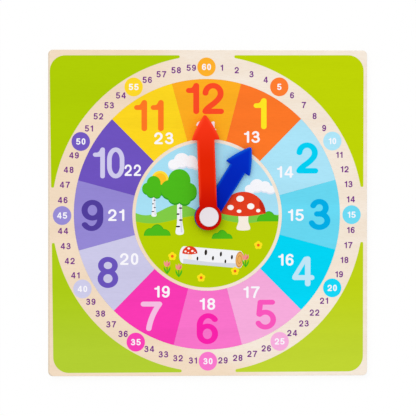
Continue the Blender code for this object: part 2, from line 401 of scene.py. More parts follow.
def slab_mesh(
    name: str, walls: list[tuple[Loop, Rows]], wall_number: int = 0, cap_number: int = 0
) -> bpy.types.Mesh:
    """A flat solid between walls, closed by a flat cap at either end.

    Args:
        name: The mesh's name.
        walls: Loops and their rows from the underside up, the outer loop first and
            anticlockwise, and each hole clockwise.
        wall_number: Material number of the walls.
        cap_number: Material number of the caps.

    Returns:
        The mesh.
    """
    shape = bmesh.new()
    rims: dict[int, list[bmesh.types.BMVert]] = {0: [], -1: []}
    loops: dict[int, list[Loop]] = {0: [], -1: []}
    for loop, rows in walls:
        foot, head = ((rows[end][0] + CAP_RIM, rows[end][1]) for end in (0, -1))
        rows = [foot, *rows, head]
        outlines = [inset(loop, depth) for depth, _ in rows]
        rings = [
            [shape.verts.new((x, y, height)) for x, y in outline]
            for outline, (_, height) in zip(outlines, rows)
        ]
        for level, (below, above) in enumerate(zip(rings, rings[1:])):
            slopes = abs(rows[level][0] - rows[level + 1][0]) > WELD
            for index in range(len(loop)):
                after = (index + 1) % len(loop)
                corners = (below[index], below[after], above[after], above[index])
                face = shape.faces.new(corners)
                face.material_index = cap_number if slopes else wall_number
        for end in rims:
            rims[end] += rings[end]
            loops[end].append(outlines[end])
    for end, rim in rims.items():
        flat = FlatFaces.of([(loop, 0 if number == 0 else -1) for number, loop in enumerate(loops[end])])
        for face, _ in flat.faces:
            corners = [rim[flat.sources[index]] for index in face]
            shape.faces.new(corners if end else corners[::-1]).material_index = cap_number
    return kept_mesh(name, shape)


def turned_mesh(name: str, profile: Loop, steps: int) -> bpy.types.Mesh:
    """A profile of (radius, height) turned about Z.

    Args:
        name: The mesh's name.
        profile: The profile's points. If the first isn't on the axis, the last joins it.
        steps: Count of facets round the axis.

    Returns:
        The mesh.
    """
    shape = bmesh.new()
    points = [shape.verts.new((radius, 0.0, height)) for radius, height in profile]
    pairs = list(zip(points, points[1:]))
    if profile[0][0] > 0:
        pairs.append((points[-1], points[0]))
    edges = [shape.edges.new(pair) for pair in pairs]
    axis = {"cent": (0.0, 0.0, 0.0), "axis": (0.0, 0.0, 1.0), "angle": math.tau}
    bmesh.ops.spin(shape, geom=points + edges, steps=steps, **axis)
    bmesh.ops.remove_doubles(shape, verts=shape.verts, dist=WELD)
    return kept_mesh(name, shape)


def put(
    name: str,
    mesh: bpy.types.Mesh,
    materials: Sequence[bpy.types.Material],
    body: str,
    nodes: Sequence[str] = (),
) -> bpy.types.Object:
    """Adds a finished piece to the object.

    Args:
        name: The piece's name.
        mesh: Its mesh, in place.
        materials: Its materials, in the order of the mesh's material numbers.
        body: The body that it moves with.
        nodes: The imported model's nodes that it stands for.

    Returns:
        The piece.
    """
    piece = bpy.data.objects.new(name, mesh)
    bpy.context.scene.collection.objects.link(piece)
    if not mesh.materials:
        for material in materials:
            mesh.materials.append(material)
    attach(piece, body)
    if nodes:
        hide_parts(*nodes)
    LOG.info("%s rides on %s: %d faces", name, body, len(mesh.polygons))
    return piece


def linear(colour: Colour) -> tuple[float, float, float, float]:
    """A colour of 0 to 255 for a screen, as the linear RGBA that a shader takes."""
    shares = [channel / 255 for channel in colour]
    return (*(c / 12.92 if c <= 0.04045 else ((c + 0.055) / 1.055) ** 2.4 for c in shares), 1.0)


@dataclass(frozen=True)
class Value:
    """An output socket on which Python's arithmetic adds Math nodes.

    Attributes:
        tree: The tree that it is in.
        socket: The socket itself.
    """

    tree: "Tree"
    socket: bpy.types.NodeSocket

    def math(self, operation: str, *others: "Value | float", clamp: bool = False) -> "Value":
        """This value put through a Math node's operation, with the others if it takes more."""
        settings = {"operation": operation, "use_clamp": clamp}
        return self.tree.node("ShaderNodeMath", settings, dict(enumerate((self, *others))))

    def __add__(self, other: "Value | float") -> "Value":
        """The sum."""
        return self.math("ADD", other)

    def __radd__(self, other: float) -> "Value":
        """The sum."""
        return self.math("ADD", other)

    def __sub__(self, other: "Value | float") -> "Value":
        """The difference."""
        return self.math("SUBTRACT", other)

    def __rsub__(self, other: float) -> "Value":
        """The difference from a number."""
        return self.math("MULTIPLY_ADD", -1.0, other)

    def __mul__(self, other: "Value | float") -> "Value":
        """The product."""
        return self.math("MULTIPLY", other)

    def __rmul__(self, other: float) -> "Value":
        """The product."""
        return self.math("MULTIPLY", other)

    def __truediv__(self, other: "Value | float") -> "Value":
        """The quotient."""
        return self.math("DIVIDE", other)

    def __gt__(self, other: "Value | float") -> "Value":
        """1 where this is more, and 0 elsewhere."""
        return self.math("GREATER_THAN", other)


class Tree:
    """A node tree that is being built, of a material, the world or Geometry Nodes."""

    def __init__(self, tree: bpy.types.NodeTree) -> None:
        """Takes an empty tree."""
        self.tree = tree

    def node(
        self,
        kind: str,
        settings: dict[str, object] | None = None,
        sockets: dict[str | int, object] | None = None,
        output: str | int = 0,
    ) -> Value:
        """Adds a node.

        Args:
            kind: The node's type.
            settings: Its properties.
            sockets: Values or links for its input sockets, by name or number.
            output: The output socket that is wanted.

        Returns:
            That output.
        """
        made = self.tree.nodes.new(kind)
        for name, value in (settings or {}).items():
            setattr(made, name, value)
        for name, value in (sockets or {}).items():
            socket = made.inputs[name]
            if isinstance(value, Value):
                self.tree.links.new(value.socket, socket)
            else:
                socket.default_value = value
        return Value(self, made.outputs[output] if made.outputs else None)

    def mixed(self, factor: "Value | float", first: object, second: object) -> Value:
        """The first colour, or by the factor the second."""
        settings = {"data_type": "RGBA"}
        return self.node("ShaderNodeMix", settings, {0: factor, 6: first, 7: second}, output=2)

    def noise(self, scale: tuple[float, float, float], detail: float, place: float = 0.0) -> Value:
        """Noise on the object's own coordinates.

        Args:
            scale: Count of waves to a metre along each axis.
            detail: Levels of finer noise.
            place: How far the pattern is slid, so that two patterns differ.

        Returns:
            The noise, about 0.5 on average.
        """
        coordinate = self.node("ShaderNodeTexCoord", output="Object")
        mapping = {"Vector": coordinate, "Scale": scale, "Location": (place, place, place)}
        vector = self.node("ShaderNodeMapping", None, mapping)
        return self.node("ShaderNodeTexNoise", None, {"Vector": vector, "Scale": 1.0, "Detail": detail})

    def axes(self) -> tuple[Value, Value, Value]:
        """The object's own X, Y and Z."""
        return self.parts(self.node("ShaderNodeTexCoord", output="Object"))

    def parts(self, vector: Value) -> tuple[Value, Value, Value]:
        """A vector's X, Y and Z."""
        split = self.node("ShaderNodeSeparateXYZ", None, {0: vector})
        return tuple(Value(self, socket) for socket in split.socket.node.outputs)

    def ramp(self, value: Value, low: float, high: float) -> Value:
        """0 where the value is at low or less, 1 at high or more, and a smooth climb between."""
        sockets = {"Value": value, "From Min": low, "From Max": high}
        return self.node("ShaderNodeMapRange", {"interpolation_type": "SMOOTHSTEP"}, sockets)


def surface(name: str, build: Callable[[Tree], dict[str, object]]) -> bpy.types.Material:
    """A material with one Principled shader.

    Args:
        name: The material's name.
        build: Takes the material's tree and gives the shader's sockets.

    Returns:
        The material.
    """
    material = bpy.data.materials.new(name)
    material.use_nodes = True
    material.node_tree.nodes.clear()
    tree = Tree(material.node_tree)
    shader = tree.node("ShaderNodeBsdfPrincipled", None, build(tree))
    tree.node("ShaderNodeOutputMaterial", None, {"Surface": shader})
    return material


def bumped(tree: Tree, height: Value, depth: float) -> Value:
    """A normal from a height between 0 and 1 that stands for a depth in metres."""
    sockets = {"Strength": 1.0, "Distance": depth, "Height": height}
    return tree.node("ShaderNodeBump", None, sockets, output="Normal")


class Finish:
    """A surface finish, whose class says what its shader's sockets hold."""

    def material(self, name: str) -> bpy.types.Material:
        """The finish as a material."""
        return surface(name, self.sockets)

    def sockets(self, tree: Tree) -> dict[str, object]:
        """The shader's sockets."""
        raise NotImplementedError


@dataclass(frozen=True)
class Grain:
    """Wood grain that runs along X, shared by bare wood and by the print on it.

    Attributes:
        long_scale: Waves to a metre along the grain.
        cross_scale: Waves to a metre across it.
        pore_long_scale: Waves to a metre along the grain for the fine pores.
        pore_cross_scale: Waves to a metre across it for the pores.
    """

    long_scale: float = 5.0
    cross_scale: float = 60.0
    pore_long_scale: float = 160.0
    pore_cross_scale: float = 900.0

    def streaks(self, tree: Tree) -> Value:
        """Broad streaks of growth, 0 to 1."""
        noise = tree.noise((self.long_scale, self.cross_scale, self.cross_scale), 3.0)
        return tree.ramp(noise, 0.36, 0.66)

    def pores(self, tree: Tree) -> Value:
        """Fine short pores, 0 to 1."""
        scale = (self.pore_long_scale, self.pore_cross_scale, self.pore_cross_scale)
        return tree.ramp(tree.noise(scale, 2.0, 0.37), 0.38, 0.68)


GRAIN = Grain()


@dataclass(frozen=True)
class BirchVeneer(Finish):
    """Sanded birch veneer, cream at the right of the board and warmer at its left.

    Attributes:
        pale: Colour of the palest wood.
        warm: Colour of the warm wood at the left.
        streak: Colour of a dark streak.
        warm_left: X, along the board's middle, where the wood is warmest.
        pale_right: X where it is palest.
        rise_share: How far the pale wood leans to the left with height.
        foot_pull: How far it is held back to the right along the board's foot.
        foot_low: Y under which that holds.
        foot_high: Y over which it doesn't.
        cloud: How far the noise moves the border between the two.
        streak_share: How far a streak of growth darkens the wood.
        pore_share: How far a pore darkens it.
    """

    pale: Colour = (246, 234, 220)
    warm: Colour = (243, 221, 196)
    streak: Colour = (226, 200, 168)
    warm_left: float = -0.062
    pale_right: float = 0.018
    rise_share: float = 0.16
    foot_pull: float = 0.05
    foot_low: float = -0.143
    foot_high: float = -0.130
    cloud: float = 0.12
    streak_share: float = 0.20
    pore_share: float = 0.14

    def sockets(self, tree: Tree) -> dict[str, object]:
        """Gives the shader's sockets.

        Args:
            tree: The material's tree.

        Returns:
            What they hold.
        """
        x, y, _ = tree.axes()
        cloud = tree.noise((9.0, 16.0, 16.0), 3.0, 0.11)
        above_foot = tree.ramp(y, self.foot_low, self.foot_high)
        level = x + y * self.rise_share - (1.0 - above_foot) * self.foot_pull
        level = level + (cloud - 0.5) * self.cloud
        paleness = tree.ramp(level, self.warm_left, self.pale_right)
        wood = tree.mixed(paleness, linear(self.warm), linear(self.pale))
        pores = GRAIN.pores(tree)
        wood = tree.mixed(GRAIN.streaks(tree) * self.streak_share, wood, linear(self.streak))
        wood = tree.mixed(pores * self.pore_share, wood, linear(self.streak))
        return {
            "Base Color": wood,
            "Roughness": 0.56 + pores * 0.10,
            "Normal": bumped(tree, pores, 0.00002),
            "Specular IOR Level": 0.15,
        }


@dataclass(frozen=True)
class PlyEdge(Finish):
    """Sawn plywood edge, whose plies show end grain and long grain by turns.

    Attributes:
        low: Height of the lowest ply's underside.
        thickness: The board's thickness.
        plies: Count of plies.
        long_grain: Colour of a ply that runs along the edge.
        end_grain: Colour of a ply that is cut across.
        glue: Colour of a glue line.
        pit_share: How far the pits of end grain take the glue's colour.
        along_share: How far long fibres take the end grain's colour.
        line_share: How strong a glue line shows.
    """

    low: float
    thickness: float
    plies: int = 3
    long_grain: Colour = (243, 229, 206)
    end_grain: Colour = (231, 212, 184)
    glue: Colour = (196, 166, 130)
    pit_share: float = 0.30
    along_share: float = 0.22
    line_share: float = 0.75

    def sockets(self, tree: Tree) -> dict[str, object]:
        """Gives the shader's sockets.

        Args:
            tree: The material's tree.

        Returns:
            What they hold.
        """
        _, _, z = tree.axes()
        level = (z - self.low) / (self.thickness / self.plies)
        is_end = (level * 0.5).math("FRACT") > 0.5
        to_line = (level.math("FRACT") - 0.5).math("ABSOLUTE")
        line = tree.ramp(to_line, 0.455, 0.49)
        fibres = tree.noise((420.0, 420.0, 90.0), 3.0)
        along = tree.noise((30.0, 30.0, 2600.0), 3.0, 0.53)
        wood = tree.mixed(is_end, linear(self.long_grain), linear(self.end_grain))
        pits = tree.ramp(fibres, 0.40, 0.70) * self.pit_share * is_end
        wood = tree.mixed(pits, wood, linear(self.glue))
        long_fibres = tree.ramp(along, 0.40, 0.70) * self.along_share
        wood = tree.mixed(long_fibres, wood, linear(self.end_grain))
        wood = tree.mixed(line * self.line_share, wood, linear(self.glue))
        return {
            "Base Color": wood,
            "Roughness": 0.68 + fibres * 0.12,
            "Normal": bumped(tree, fibres, 0.00006),
            "Specular IOR Level": 0.2,
        }


@dataclass(frozen=True)
class Ink(Finish):
    """Opaque satin ink, through which the wood's grain still shows a little.

    Attributes:
        colour: The ink's colour.
        grain_share: How far the grain darkens it.
        roughness: Its mean roughness.
        foot: Its colour at the board's foot, where that differs.
        foot_low: Y where the foot's colour is whole.
        foot_high: Y where it has gone.
    """

    colour: Colour
    grain_share: float = 0.07
    roughness: float = 0.52
    foot: Colour | None = None
    foot_low: float = -0.14
    foot_high: float = -0.06

    def sockets(self, tree: Tree) -> dict[str, object]:
        """Gives the shader's sockets.

        Args:
            tree: The material's tree.

        Returns:
            What they hold.
        """
        pores = GRAIN.pores(tree)
        return {
            "Base Color": self._colour(tree, pores),
            "Roughness": self.roughness + pores * 0.08,
            "Normal": bumped(tree, pores, 0.00001),
            "Specular IOR Level": 0.012,
        }

    def _colour(self, tree: Tree, pores: Value) -> Value:
        """The ink over the grain.

        Args:
            tree: The material's tree.
            pores: The wood's fine pores.

        Returns:
            The colour.
        """
        full = linear(self.colour)
        if self.foot:
            share = tree.ramp(tree.axes()[1], self.foot_low, self.foot_high)
            full = tree.mixed(share, linear(self.foot), full)
        shade = (GRAIN.streaks(tree) * 0.6 + pores * 0.4) * self.grain_share
        return tree.mixed(shade, full, linear((0, 0, 0)))


@dataclass(frozen=True)
class DotInk(Ink):
    """Ink whose colour each dot brings.

    Attributes:
        colour: Colour of a pore in it.
        grain_share: How strongly the pores show.
    """

    colour: Colour = (120, 100, 80)
    grain_share: float = 0.05

    def _colour(self, tree: Tree, pores: Value) -> Value:
        """The dot's own colour over the pores."""
        own = tree.node("ShaderNodeAttribute", {"attribute_name": "ink_colour"}, output="Color")
        return tree.mixed(pores * self.grain_share, own, linear(self.colour))


@dataclass(frozen=True)
class MouldedPlastic(Finish):
    """Glossy moulded plastic whose colour is painted along its length, from painted shade at the near end to
    painted sheen at the far end.

    Attributes:
        near: Colour at the near end, darker as painted shade.
        middle: Colour half way.
        far: Colour at the far end, lighter as painted sheen.
        start: Point of the near end.
        end: Point of the far end.
        roughness: Mean roughness.
        gloss: The shader's specular level.
    """

    near: Colour
    middle: Colour
    far: Colour
    start: Point = (0.0, 0.0)
    end: Point = (0.0, 0.1)
    roughness: float = 0.30
    gloss: float = 0.02

    def sockets(self, tree: Tree) -> dict[str, object]:
        """Gives the shader's sockets.

        Args:
            tree: The material's tree.

        Returns:
            What they hold.
        """
        x, y, _ = tree.axes()
        length = math.hypot(self.end[0] - self.start[0], self.end[1] - self.start[1])
        right, up = ((end - start) / length for start, end in zip(self.start, self.end))
        x, y = x - self.start[0], y - self.start[1]
        along = x * right + y * up
        across = (x * up - y * right).math("ABSOLUTE")
        # Painted shade at the near end turns to painted sheen towards the far end, with a little noise in
        # where it turns
        gradient_waver = tree.noise((25.0, 25.0, 25.0), 2.0)
        share = along / length + (gradient_waver - 0.5) * 0.12
        colour = tree.mixed(tree.ramp(share, 0.0, 0.5), linear(self.near), linear(self.middle))
        colour = tree.mixed(tree.ramp(share, 0.5, 1.0), colour, linear(self.far))
        colour = self._edged(tree, colour, along, across)
        skin = tree.noise((1500.0, 1500.0, 1500.0), 2.0)
        return {
            "Base Color": colour,
            "Roughness": self.roughness + (skin - 0.5) * 0.10,
            "Normal": bumped(tree, skin, 0.000004),
            "Specular IOR Level": self.gloss,
        }

    def _edged(self, tree: Tree, colour: Value, along: Value, across: Value) -> Value:
        """The colour with any painted highlight near an edge, which a thick piece doesn't get."""
        return colour


@dataclass(frozen=True)
class HandPlastic(MouldedPlastic):
    """A hand's plastic, with a painted highlight along its thin edges.

    Attributes:
        edge: Colour of the painted highlight at the edges.
        band: Width of the painted highlight along the edges.
        shaft_half: Half the shaft's width, which the hand fills in, like the next three.
        head_half: Half the head's width.
        head_length: The head's length.
        boss_radius: Radius of the boss, which gets no painted highlight.
    """

    edge: Colour = (255, 255, 255)
    band: float = 2.6 * MM
    shaft_half: float = 0.0
    head_half: float = 0.0
    head_length: float = 0.0
    boss_radius: float = 0.0

    def _edged(self, tree: Tree, colour: Value, along: Value, across: Value) -> Value:
        """Mixes the painted edge highlight into the colour along the shaft and the head.

        Args:
            tree: The material's tree.
            colour: The colour away from the edges.
            along: Distance from the pivot along the hand.
            across: Distance from its middle line.

        Returns:
            The mixed colour.
        """
        neck = math.dist(self.start, self.end) - self.head_length
        side = across / self.head_half + (along - neck) / self.head_length
        depth = self.head_half * math.cos(math.atan2(self.head_half, self.head_length))
        # Painted highlight along the thin edges of the head and the shaft
        on_head = tree.ramp(side, 1.0 - self.band / depth, 1.0 + self.band / depth)
        on_shaft = tree.ramp(across, self.shaft_half - self.band, self.shaft_half + self.band / 2)
        share = on_shaft + (on_head - on_shaft) * (along > neck)
        share = share * tree.ramp(along, self.boss_radius, self.boss_radius * 2)
        return tree.mixed(share, colour, linear(self.edge))


class GeometryTool:
    """A Geometry Nodes tree with named inputs, which makes plain meshes."""

    def __init__(self, name: str) -> None:
        """Starts an empty tree.

        Args:
            name: The tree's name.
        """
        self.group = bpy.data.node_groups.new(name, "GeometryNodeTree")
        self.group.interface.new_socket("Geometry", in_out="INPUT", socket_type="NodeSocketGeometry")
        self.group.interface.new_socket("Geometry", in_out="OUTPUT", socket_type="NodeSocketGeometry")
        self.tree = Tree(self.group)
        self.identifiers: dict[str, str] = {}

    def inputs(self, kinds: dict[str, str]) -> dict[str, Value]:
        """Adds the tree's named inputs.

        Args:
            kinds: Each input's name and socket type, without NodeSocket.

        Returns:
            The inputs' values inside the tree, the geometry among them.
        """
        for name, kind in kinds.items():
            made = self.group.interface.new_socket(
                name, in_out="INPUT", socket_type=f"NodeSocket{kind}"
            )
            self.identifiers[name] = made.identifier
        outputs = self.tree.node("NodeGroupInput").socket.node.outputs
        return {socket.name: Value(self.tree, socket) for socket in outputs if socket.name}

    def close(self, geometry: Value) -> None:
        """Ends the tree with this geometry."""
        self.tree.node("NodeGroupOutput", None, {0: geometry})

    def run(
        self, name: str, values: dict[str, object], base: bpy.types.Mesh | None = None
    ) -> bpy.types.Mesh:
        """Makes a plain mesh.

        Args:
            name: The new mesh's name.
            values: The inputs' values by name.
            base: The mesh that goes in, which is used up. Without one, nothing goes in.

        Returns:
            The mesh that comes out.
        """
        base = base or bpy.data.meshes.new(name)
        worker = bpy.data.objects.new(name, base)
        bpy.context.scene.collection.objects.link(worker)
        modifier = worker.modifiers.new(name, "NODES")
        modifier.node_group = self.group
        for label, value in values.items():
            modifier[self.identifiers[label]] = value
        graph = bpy.context.evaluated_depsgraph_get()
        made = bpy.data.meshes.new_from_object(worker.evaluated_get(graph), depsgraph=graph)
        worker.modifiers.remove(modifier)
        bpy.data.objects.remove(worker)
        bpy.data.meshes.remove(base)
        made.name = name
        return made


def sector_tool() -> GeometryTool:
    """The tree that bends a block of faces into one hour piece with softened edges.

    Returns:
        The tool.
    """
    tool = GeometryTool("hour_sector")
    sizes = ("Outer Radius", "Inner Radius", "Hour Angle", "Span", "Cut", "Low", "Thickness", "Edge")
    others = {"Steps": "Int", "Wood": "Material", "Print": "Material"}
    kinds = {name: "Float" for name in sizes} | others
    given = tool.inputs(kinds)
    tree = tool.tree
    counts = {"Size": (1.0, 1.0, 1.0), "Vertices X": given["Steps"], "Vertices Y": 2, "Vertices Z": 4}
    block = tree.node("GeometryNodeMeshCube", None, counts)
    across, outwards, upwards = tree.parts(tree.node("GeometryNodeInputPosition"))
    at_cap = upwards.math("ABSOLUTE") > 0.4
    edge = given["Edge"] * at_cap
    inner = given["Inner Radius"] + edge
    outer = given["Outer Radius"] - edge
    radius = inner + (outer - inner) * (outwards + 0.5)
    side = ((given["Cut"] * 0.5 + edge) / radius).math("ARCSINE")
    angle = given["Hour Angle"] + across * 2.0 * (given["Span"] * 0.5 - side)
    half = given["Thickness"] * 0.5
    rise = upwards.math("SIGN") * (half - given["Edge"] * (1.0 - at_cap))
    places = {0: radius * angle.math("SINE"), 1: radius * angle.math("COSINE"), 2: given["Low"] + half + rise}
    spot = tree.node("ShaderNodeCombineXYZ", None, places)
    bent_block = tree.node("GeometryNodeSetPosition", None, {"Geometry": block, "Position": spot})
    is_top = tree.parts(tree.node("GeometryNodeInputNormal"))[2] > 0.5
    whole = tree.node("GeometryNodeRealizeInstances", None, {0: bent_block})
    wooden = tree.node("GeometryNodeSetMaterial", None, {0: whole, "Material": given["Wood"]})
    printed = {0: wooden, "Selection": is_top, "Material": given["Print"]}
    tool.close(tree.node("GeometryNodeSetMaterial", None, printed))
    return tool


def figure_tool() -> GeometryTool:
    """The tree that sets the right figure at each point of a layout.

    Returns:
        The tool.
    """
    tool = GeometryTool("figure_setter")
    given = tool.inputs({"Figures": "Collection", "Figure Height": "Float", "Ink": "Material"})
    tree = tool.tree
    sockets = {0: given["Figures"], "Separate Children": True, "Reset Children": True}
    figures = tree.node("GeometryNodeCollectionInfo", None, sockets)
    digit = tree.node("GeometryNodeInputNamedAttribute", {"data_type": "INT"}, {"Name": "digit"})
    height = given["Figure Height"]
    scale = tree.node("ShaderNodeCombineXYZ", None, {0: height, 1: height, 2: 1.0})
    sockets = {
        "Points": given["Geometry"],
        "Instance": figures,
        "Pick Instance": True,
        "Instance Index": digit,
        "Scale": scale,
    }
    placed = tree.node("GeometryNodeInstanceOnPoints", None, sockets)
    whole = tree.node("GeometryNodeRealizeInstances", None, {0: placed})
    tool.close(tree.node("GeometryNodeSetMaterial", None, {0: whole, "Material": given["Ink"]}))
    return tool


def dot_tool() -> GeometryTool:
    """The tree that prints a round dot at each point of a layout, in the point's colour.

    Returns:
        The tool.
    """
    tool = GeometryTool("dot_printer")
    kinds = {"Dot Radius": "Float", "Film": "Float", "Facets": "Int", "Ink": "Material"}
    given = tool.inputs(kinds)
    tree = tool.tree
    sizes = {"Vertices": given["Facets"], "Radius": given["Dot Radius"], "Depth": given["Film"]}
    dot = tree.node("GeometryNodeMeshCylinder", None, sizes)
    placed = tree.node(
        "GeometryNodeInstanceOnPoints", None, {"Points": given["Geometry"], "Instance": dot}
    )
    whole = tree.node("GeometryNodeRealizeInstances", None, {0: placed})
    tool.close(tree.node("GeometryNodeSetMaterial", None, {0: whole, "Material": given["Ink"]}))
    return tool


def points_mesh(name: str, points: list[tuple[float, float, float]]) -> bpy.types.Mesh:
    """Makes a mesh of loose points for a tool to work on.

    Args:
        name: The mesh's name.
        points: The points.

    Returns:
        The mesh.
    """
    mesh = bpy.data.meshes.new(name)
    mesh.from_pydata(points, [], [])
    return mesh


@dataclass(frozen=True)
class FigureStyle:
    """How one kind of number is drawn and set.

    Attributes:
        height: Height of a figure.
        stroke_share: Stroke width as a share of the height.
        gap_share: Gap between two figures as a share of the height.
        width_share: How far the figures and their strokes are stretched sideways.
        chords: Count of chords in a half turn of a stroke.
    """

    height: float
    stroke_share: float
    gap_share: float
    width_share: float = 1.0
    chords: int = 16


DAY_STYLE = FigureStyle(10.8 * MM, 0.165, 0.20, 1.19, 12)
TIGHT_DAY_STYLE = FigureStyle(10.5 * MM, 0.160, 0.17, 1.04, 12)
MINUTE_STYLE = FigureStyle(5.8 * MM, 0.178, 0.19, 1.11, 8)
DOT_STYLE = FigureStyle(5.8 * MM, 0.18, 0.18, 1.13, 8)


class Figures:
    """Ten rounded figures in one style, and the numbers that are set from them."""

    # Each figure's width as a share of its height, both between the strokes' middle lines
    WIDTH_SHARES = (0.45, 0.275, 0.555, 0.54, 0.60, 0.545, 0.49, 0.595, 0.53, 0.49)

    def __init__(self, style: FigureStyle, tool: GeometryTool, low: float, high: float) -> None:
        """Draws the ten figures.

        Args:
            style: How they are drawn.
            tool: The tree that sets them.
            low: Height of the film's underside.
            high: Height of its top.
        """
        self.style = style
        self.tool = tool
        self.collection = bpy.data.collections.new("figures")
        for digit in range(10):
            strokes = [(self._stroke(path, weight), 0) for path, weight in self._paths(digit)]
            mesh = film_mesh(f"figure_{digit}", strokes, low, high)
            self.collection.objects.link(bpy.data.objects.new(f"figure_{digit}", mesh))

    def _stroke(self, path: Loop, weight: float) -> Loop:
        """Draws a stroke of a figure whose height is 1, about the middle of its left side.

        Args:
            path: The stroke's middle line, in shares of the figure's height.
            weight: Its width next to the style's.

        Returns:
            The stroke's outline.
        """
        width = self.style.stroke_share
        span = 1 - width
        places = [(x * span, (y - 0.5) * span) for x, y in path]
        outline = ribbon(places, width * weight, self.style.chords)
        return [(x * self.style.width_share, y) for x, y in outline]

    def _paths(self, digit: int) -> list[tuple[Loop, float]]:
        """A figure's strokes.

        Args:
            digit: The figure.

        Returns:
            Each stroke's middle line, in shares of the height, and its weight.
        """
        half_turn = self.style.chords
        full = half_turn * 2
        width = self.WIDTH_SHARES[digit]
        light = 0.8
        flag_weight = 0.94

        def ring(centre: Point, radii: Point) -> list[tuple[Loop, float]]:
            """A closed ring as two half turns."""
            return [(arc(centre, radii, start, start + 180, half_turn), 1.0) for start in (0, 180)]

        def round_about(paths: list[tuple[Loop, float]]) -> list[tuple[Loop, float]]:
            """The strokes turned upside down."""
            return [([(width - x, 1 - y) for x, y in path], weight) for path, weight in paths]

        if digit == 0:
            side = arc((0.225, 0.62), (0.225, 0.38), 0, 180, half_turn) + [(0.0, 0.38)]
            return [(side, 1.0)] + round_about([(side, 1.0)])
        if digit == 1:
            flag = bent((0.01, 0.81), (0.19, 0.79), (0.255, 0.97), half_turn // 2)
            under = [(0.01, 0.81), (0.275, 0.81)]
            stem = [(0.275, 1.0), (0.275, 0.0)]
            return [(stem, 1.0), (flag, flag_weight), (under, flag_weight)]
        if digit == 2:
            hook = arc((0.273, 0.70), (0.268, 0.30), 177, -38, full)
            middle = bent(hook[-1], (0.39, 0.38), (0.24, 0.26), half_turn // 2)[1:]
            foot = bent((0.24, 0.26), (0.03, 0.10), (0.0, 0.0), half_turn // 2)[1:]
            return [(hook + middle + foot, 1.0), ([(0.0, 0.0), (0.555, 0.0)], 1.0)]
        if digit == 3:
            upper = arc((0.26, 0.76), (0.225, 0.24), 160, -90, full)
            lower = arc((0.26, 0.26), (0.28, 0.26), 90, -160, full)
            return [(upper, 1.0), (lower, 1.0), ([(0.18, 0.52), (0.27, 0.52)], 1.0)]
        if digit == 4:
            stem = [([(0.46, 0.0), (0.46, 1.0)], 1.0), ([(0.46, 1.0), (0.39, 0.985)], 1.0)]
            return stem + [([(0.37, 0.985), (-0.01, 0.29)], light), ([(0.0, 0.25), (0.60, 0.25)], 1.0)]
        if digit == 5:
            bowl = arc((0.26, 0.30), (0.285, 0.30), 135, -152, full)
            bar, stem = [(0.51, 1.0), (0.08, 1.0)], [(0.08, 1.0), (0.035, 0.525)]
            return [(bar, 1.0), (stem, 1.0), (bowl, 1.0)]
        if digit == 7:
            leg = bent((0.595, 1.0), (0.29, 0.56), (0.20, 0.0), half_turn)
            return [([(0.0, 1.0), (0.595, 1.0)], 1.0), (leg, 1.0)]
        if digit == 8:
            return ring((0.265, 0.765), (0.235, 0.235)) + ring((0.265, 0.265), (0.25, 0.265))
        tail = [(0.0, 0.30)] + arc((0.27, 0.62), (0.27, 0.38), 180, 38, full)
        six = ring((0.245, 0.30), (0.245, 0.30)) + [(tail, 1.0)]
        return round_about(six) if digit == 9 else six

    def _width(self, digit: int) -> float:
        """A figure's full width as a share of its full height."""
        line, stroke = self.WIDTH_SHARES[digit], self.style.stroke_share
        return (line * (1 - stroke) + stroke) * self.style.width_share

    def set(self, name: str, numbers: dict[int, Point], ink: bpy.types.Material) -> bpy.types.Mesh:
        """Sets numbers on the board.

        Args:
            name: The mesh's name.
            numbers: Each number and the place of its middle.
            ink: The material.

        Returns:
            One mesh of all the numbers.
        """
        height = self.style.height
        gap = self.style.gap_share * height
        half_stroke = self.style.stroke_share * self.style.width_share * height / 2
        points = []
        digits = []
        for number, (x, y) in numbers.items():
            shown = [int(letter) for letter in str(number)]
            widths = [self._width(digit) * height for digit in shown]
            left = x - (sum(widths) + gap * (len(widths) - 1)) / 2
            for digit, width in zip(shown, widths):
                points.append((left + half_stroke, y, 0.0))
                digits.append(digit)
                left += width + gap
        layout = points_mesh(f"{name}_layout", points)
        attribute = layout.attributes.new("digit", "INT", "POINT")
        attribute.data.foreach_set("value", digits)
        values = {"Figures": self.collection, "Figure Height": height, "Ink": ink}
        return self.tool.run(name, values, layout)

    def clear(self) -> None:
        """Takes the ten figures away once all numbers are set."""
        for figure in list(self.collection.objects):
            bpy.data.objects.remove(figure)
        bpy.data.collections.remove(self.collection)


@dataclass(frozen=True)
class PrintSheet:
    """How the print lies on the board: a little low, turned and wider at the top.

    The dial's cuts follow it.

    Attributes:
        shift: Place of the print's middle on the board.
        lean: How far it leans to the left with each metre of height.
        rise: How far it rises with each metre to the right.
        spread: How much wider it grows with each metre towards the top.
        wide_share: Its width next to the design's.
        tall_share: Its height next to the design's.
        sink: How deep a film's underside lies in what it is printed on.
        film: How high its top stands.
    """

    shift: Point = (-1.5 * MM, -2.0 * MM)
    lean: float = 0.0050
    rise: float = 0.0028
    spread: float = 0.052
    wide_share: float = 1.0053
    tall_share: float = 0.9965
    sink: float = 0.02 * MM
    film: float = 0.03 * MM

    def on_board(self, point: Point) -> Point:
        """Finds where a point of the print's design lies.

        Args:
            point: The point in the design.

        Returns:
            The point on the board.
        """
        x = point[0] * self.wide_share
        y = point[1] * self.tall_share
        scale = 1 + self.spread * y
        return (
            x * scale - self.lean * y + self.shift[0],
            y * scale + self.rise * x + self.shift[1],
        )

    def laid(self, outline: Loop) -> Loop:
        """Where an outline of the design lies on the board."""
        return [self.on_board(point) for point in outline]

    def lay(self, mesh: bpy.types.Mesh) -> None:
        """Moves a mesh that is drawn about the design's middle to its place on the board."""
        for point in mesh.vertices:
            point.co.x, point.co.y = self.on_board((point.co.x, point.co.y))

    def span(self, top: float) -> tuple[float, float]:
        """The lowest and highest height of a film printed on a face."""
        return top - self.sink, top + self.film


SHEET = PrintSheet()

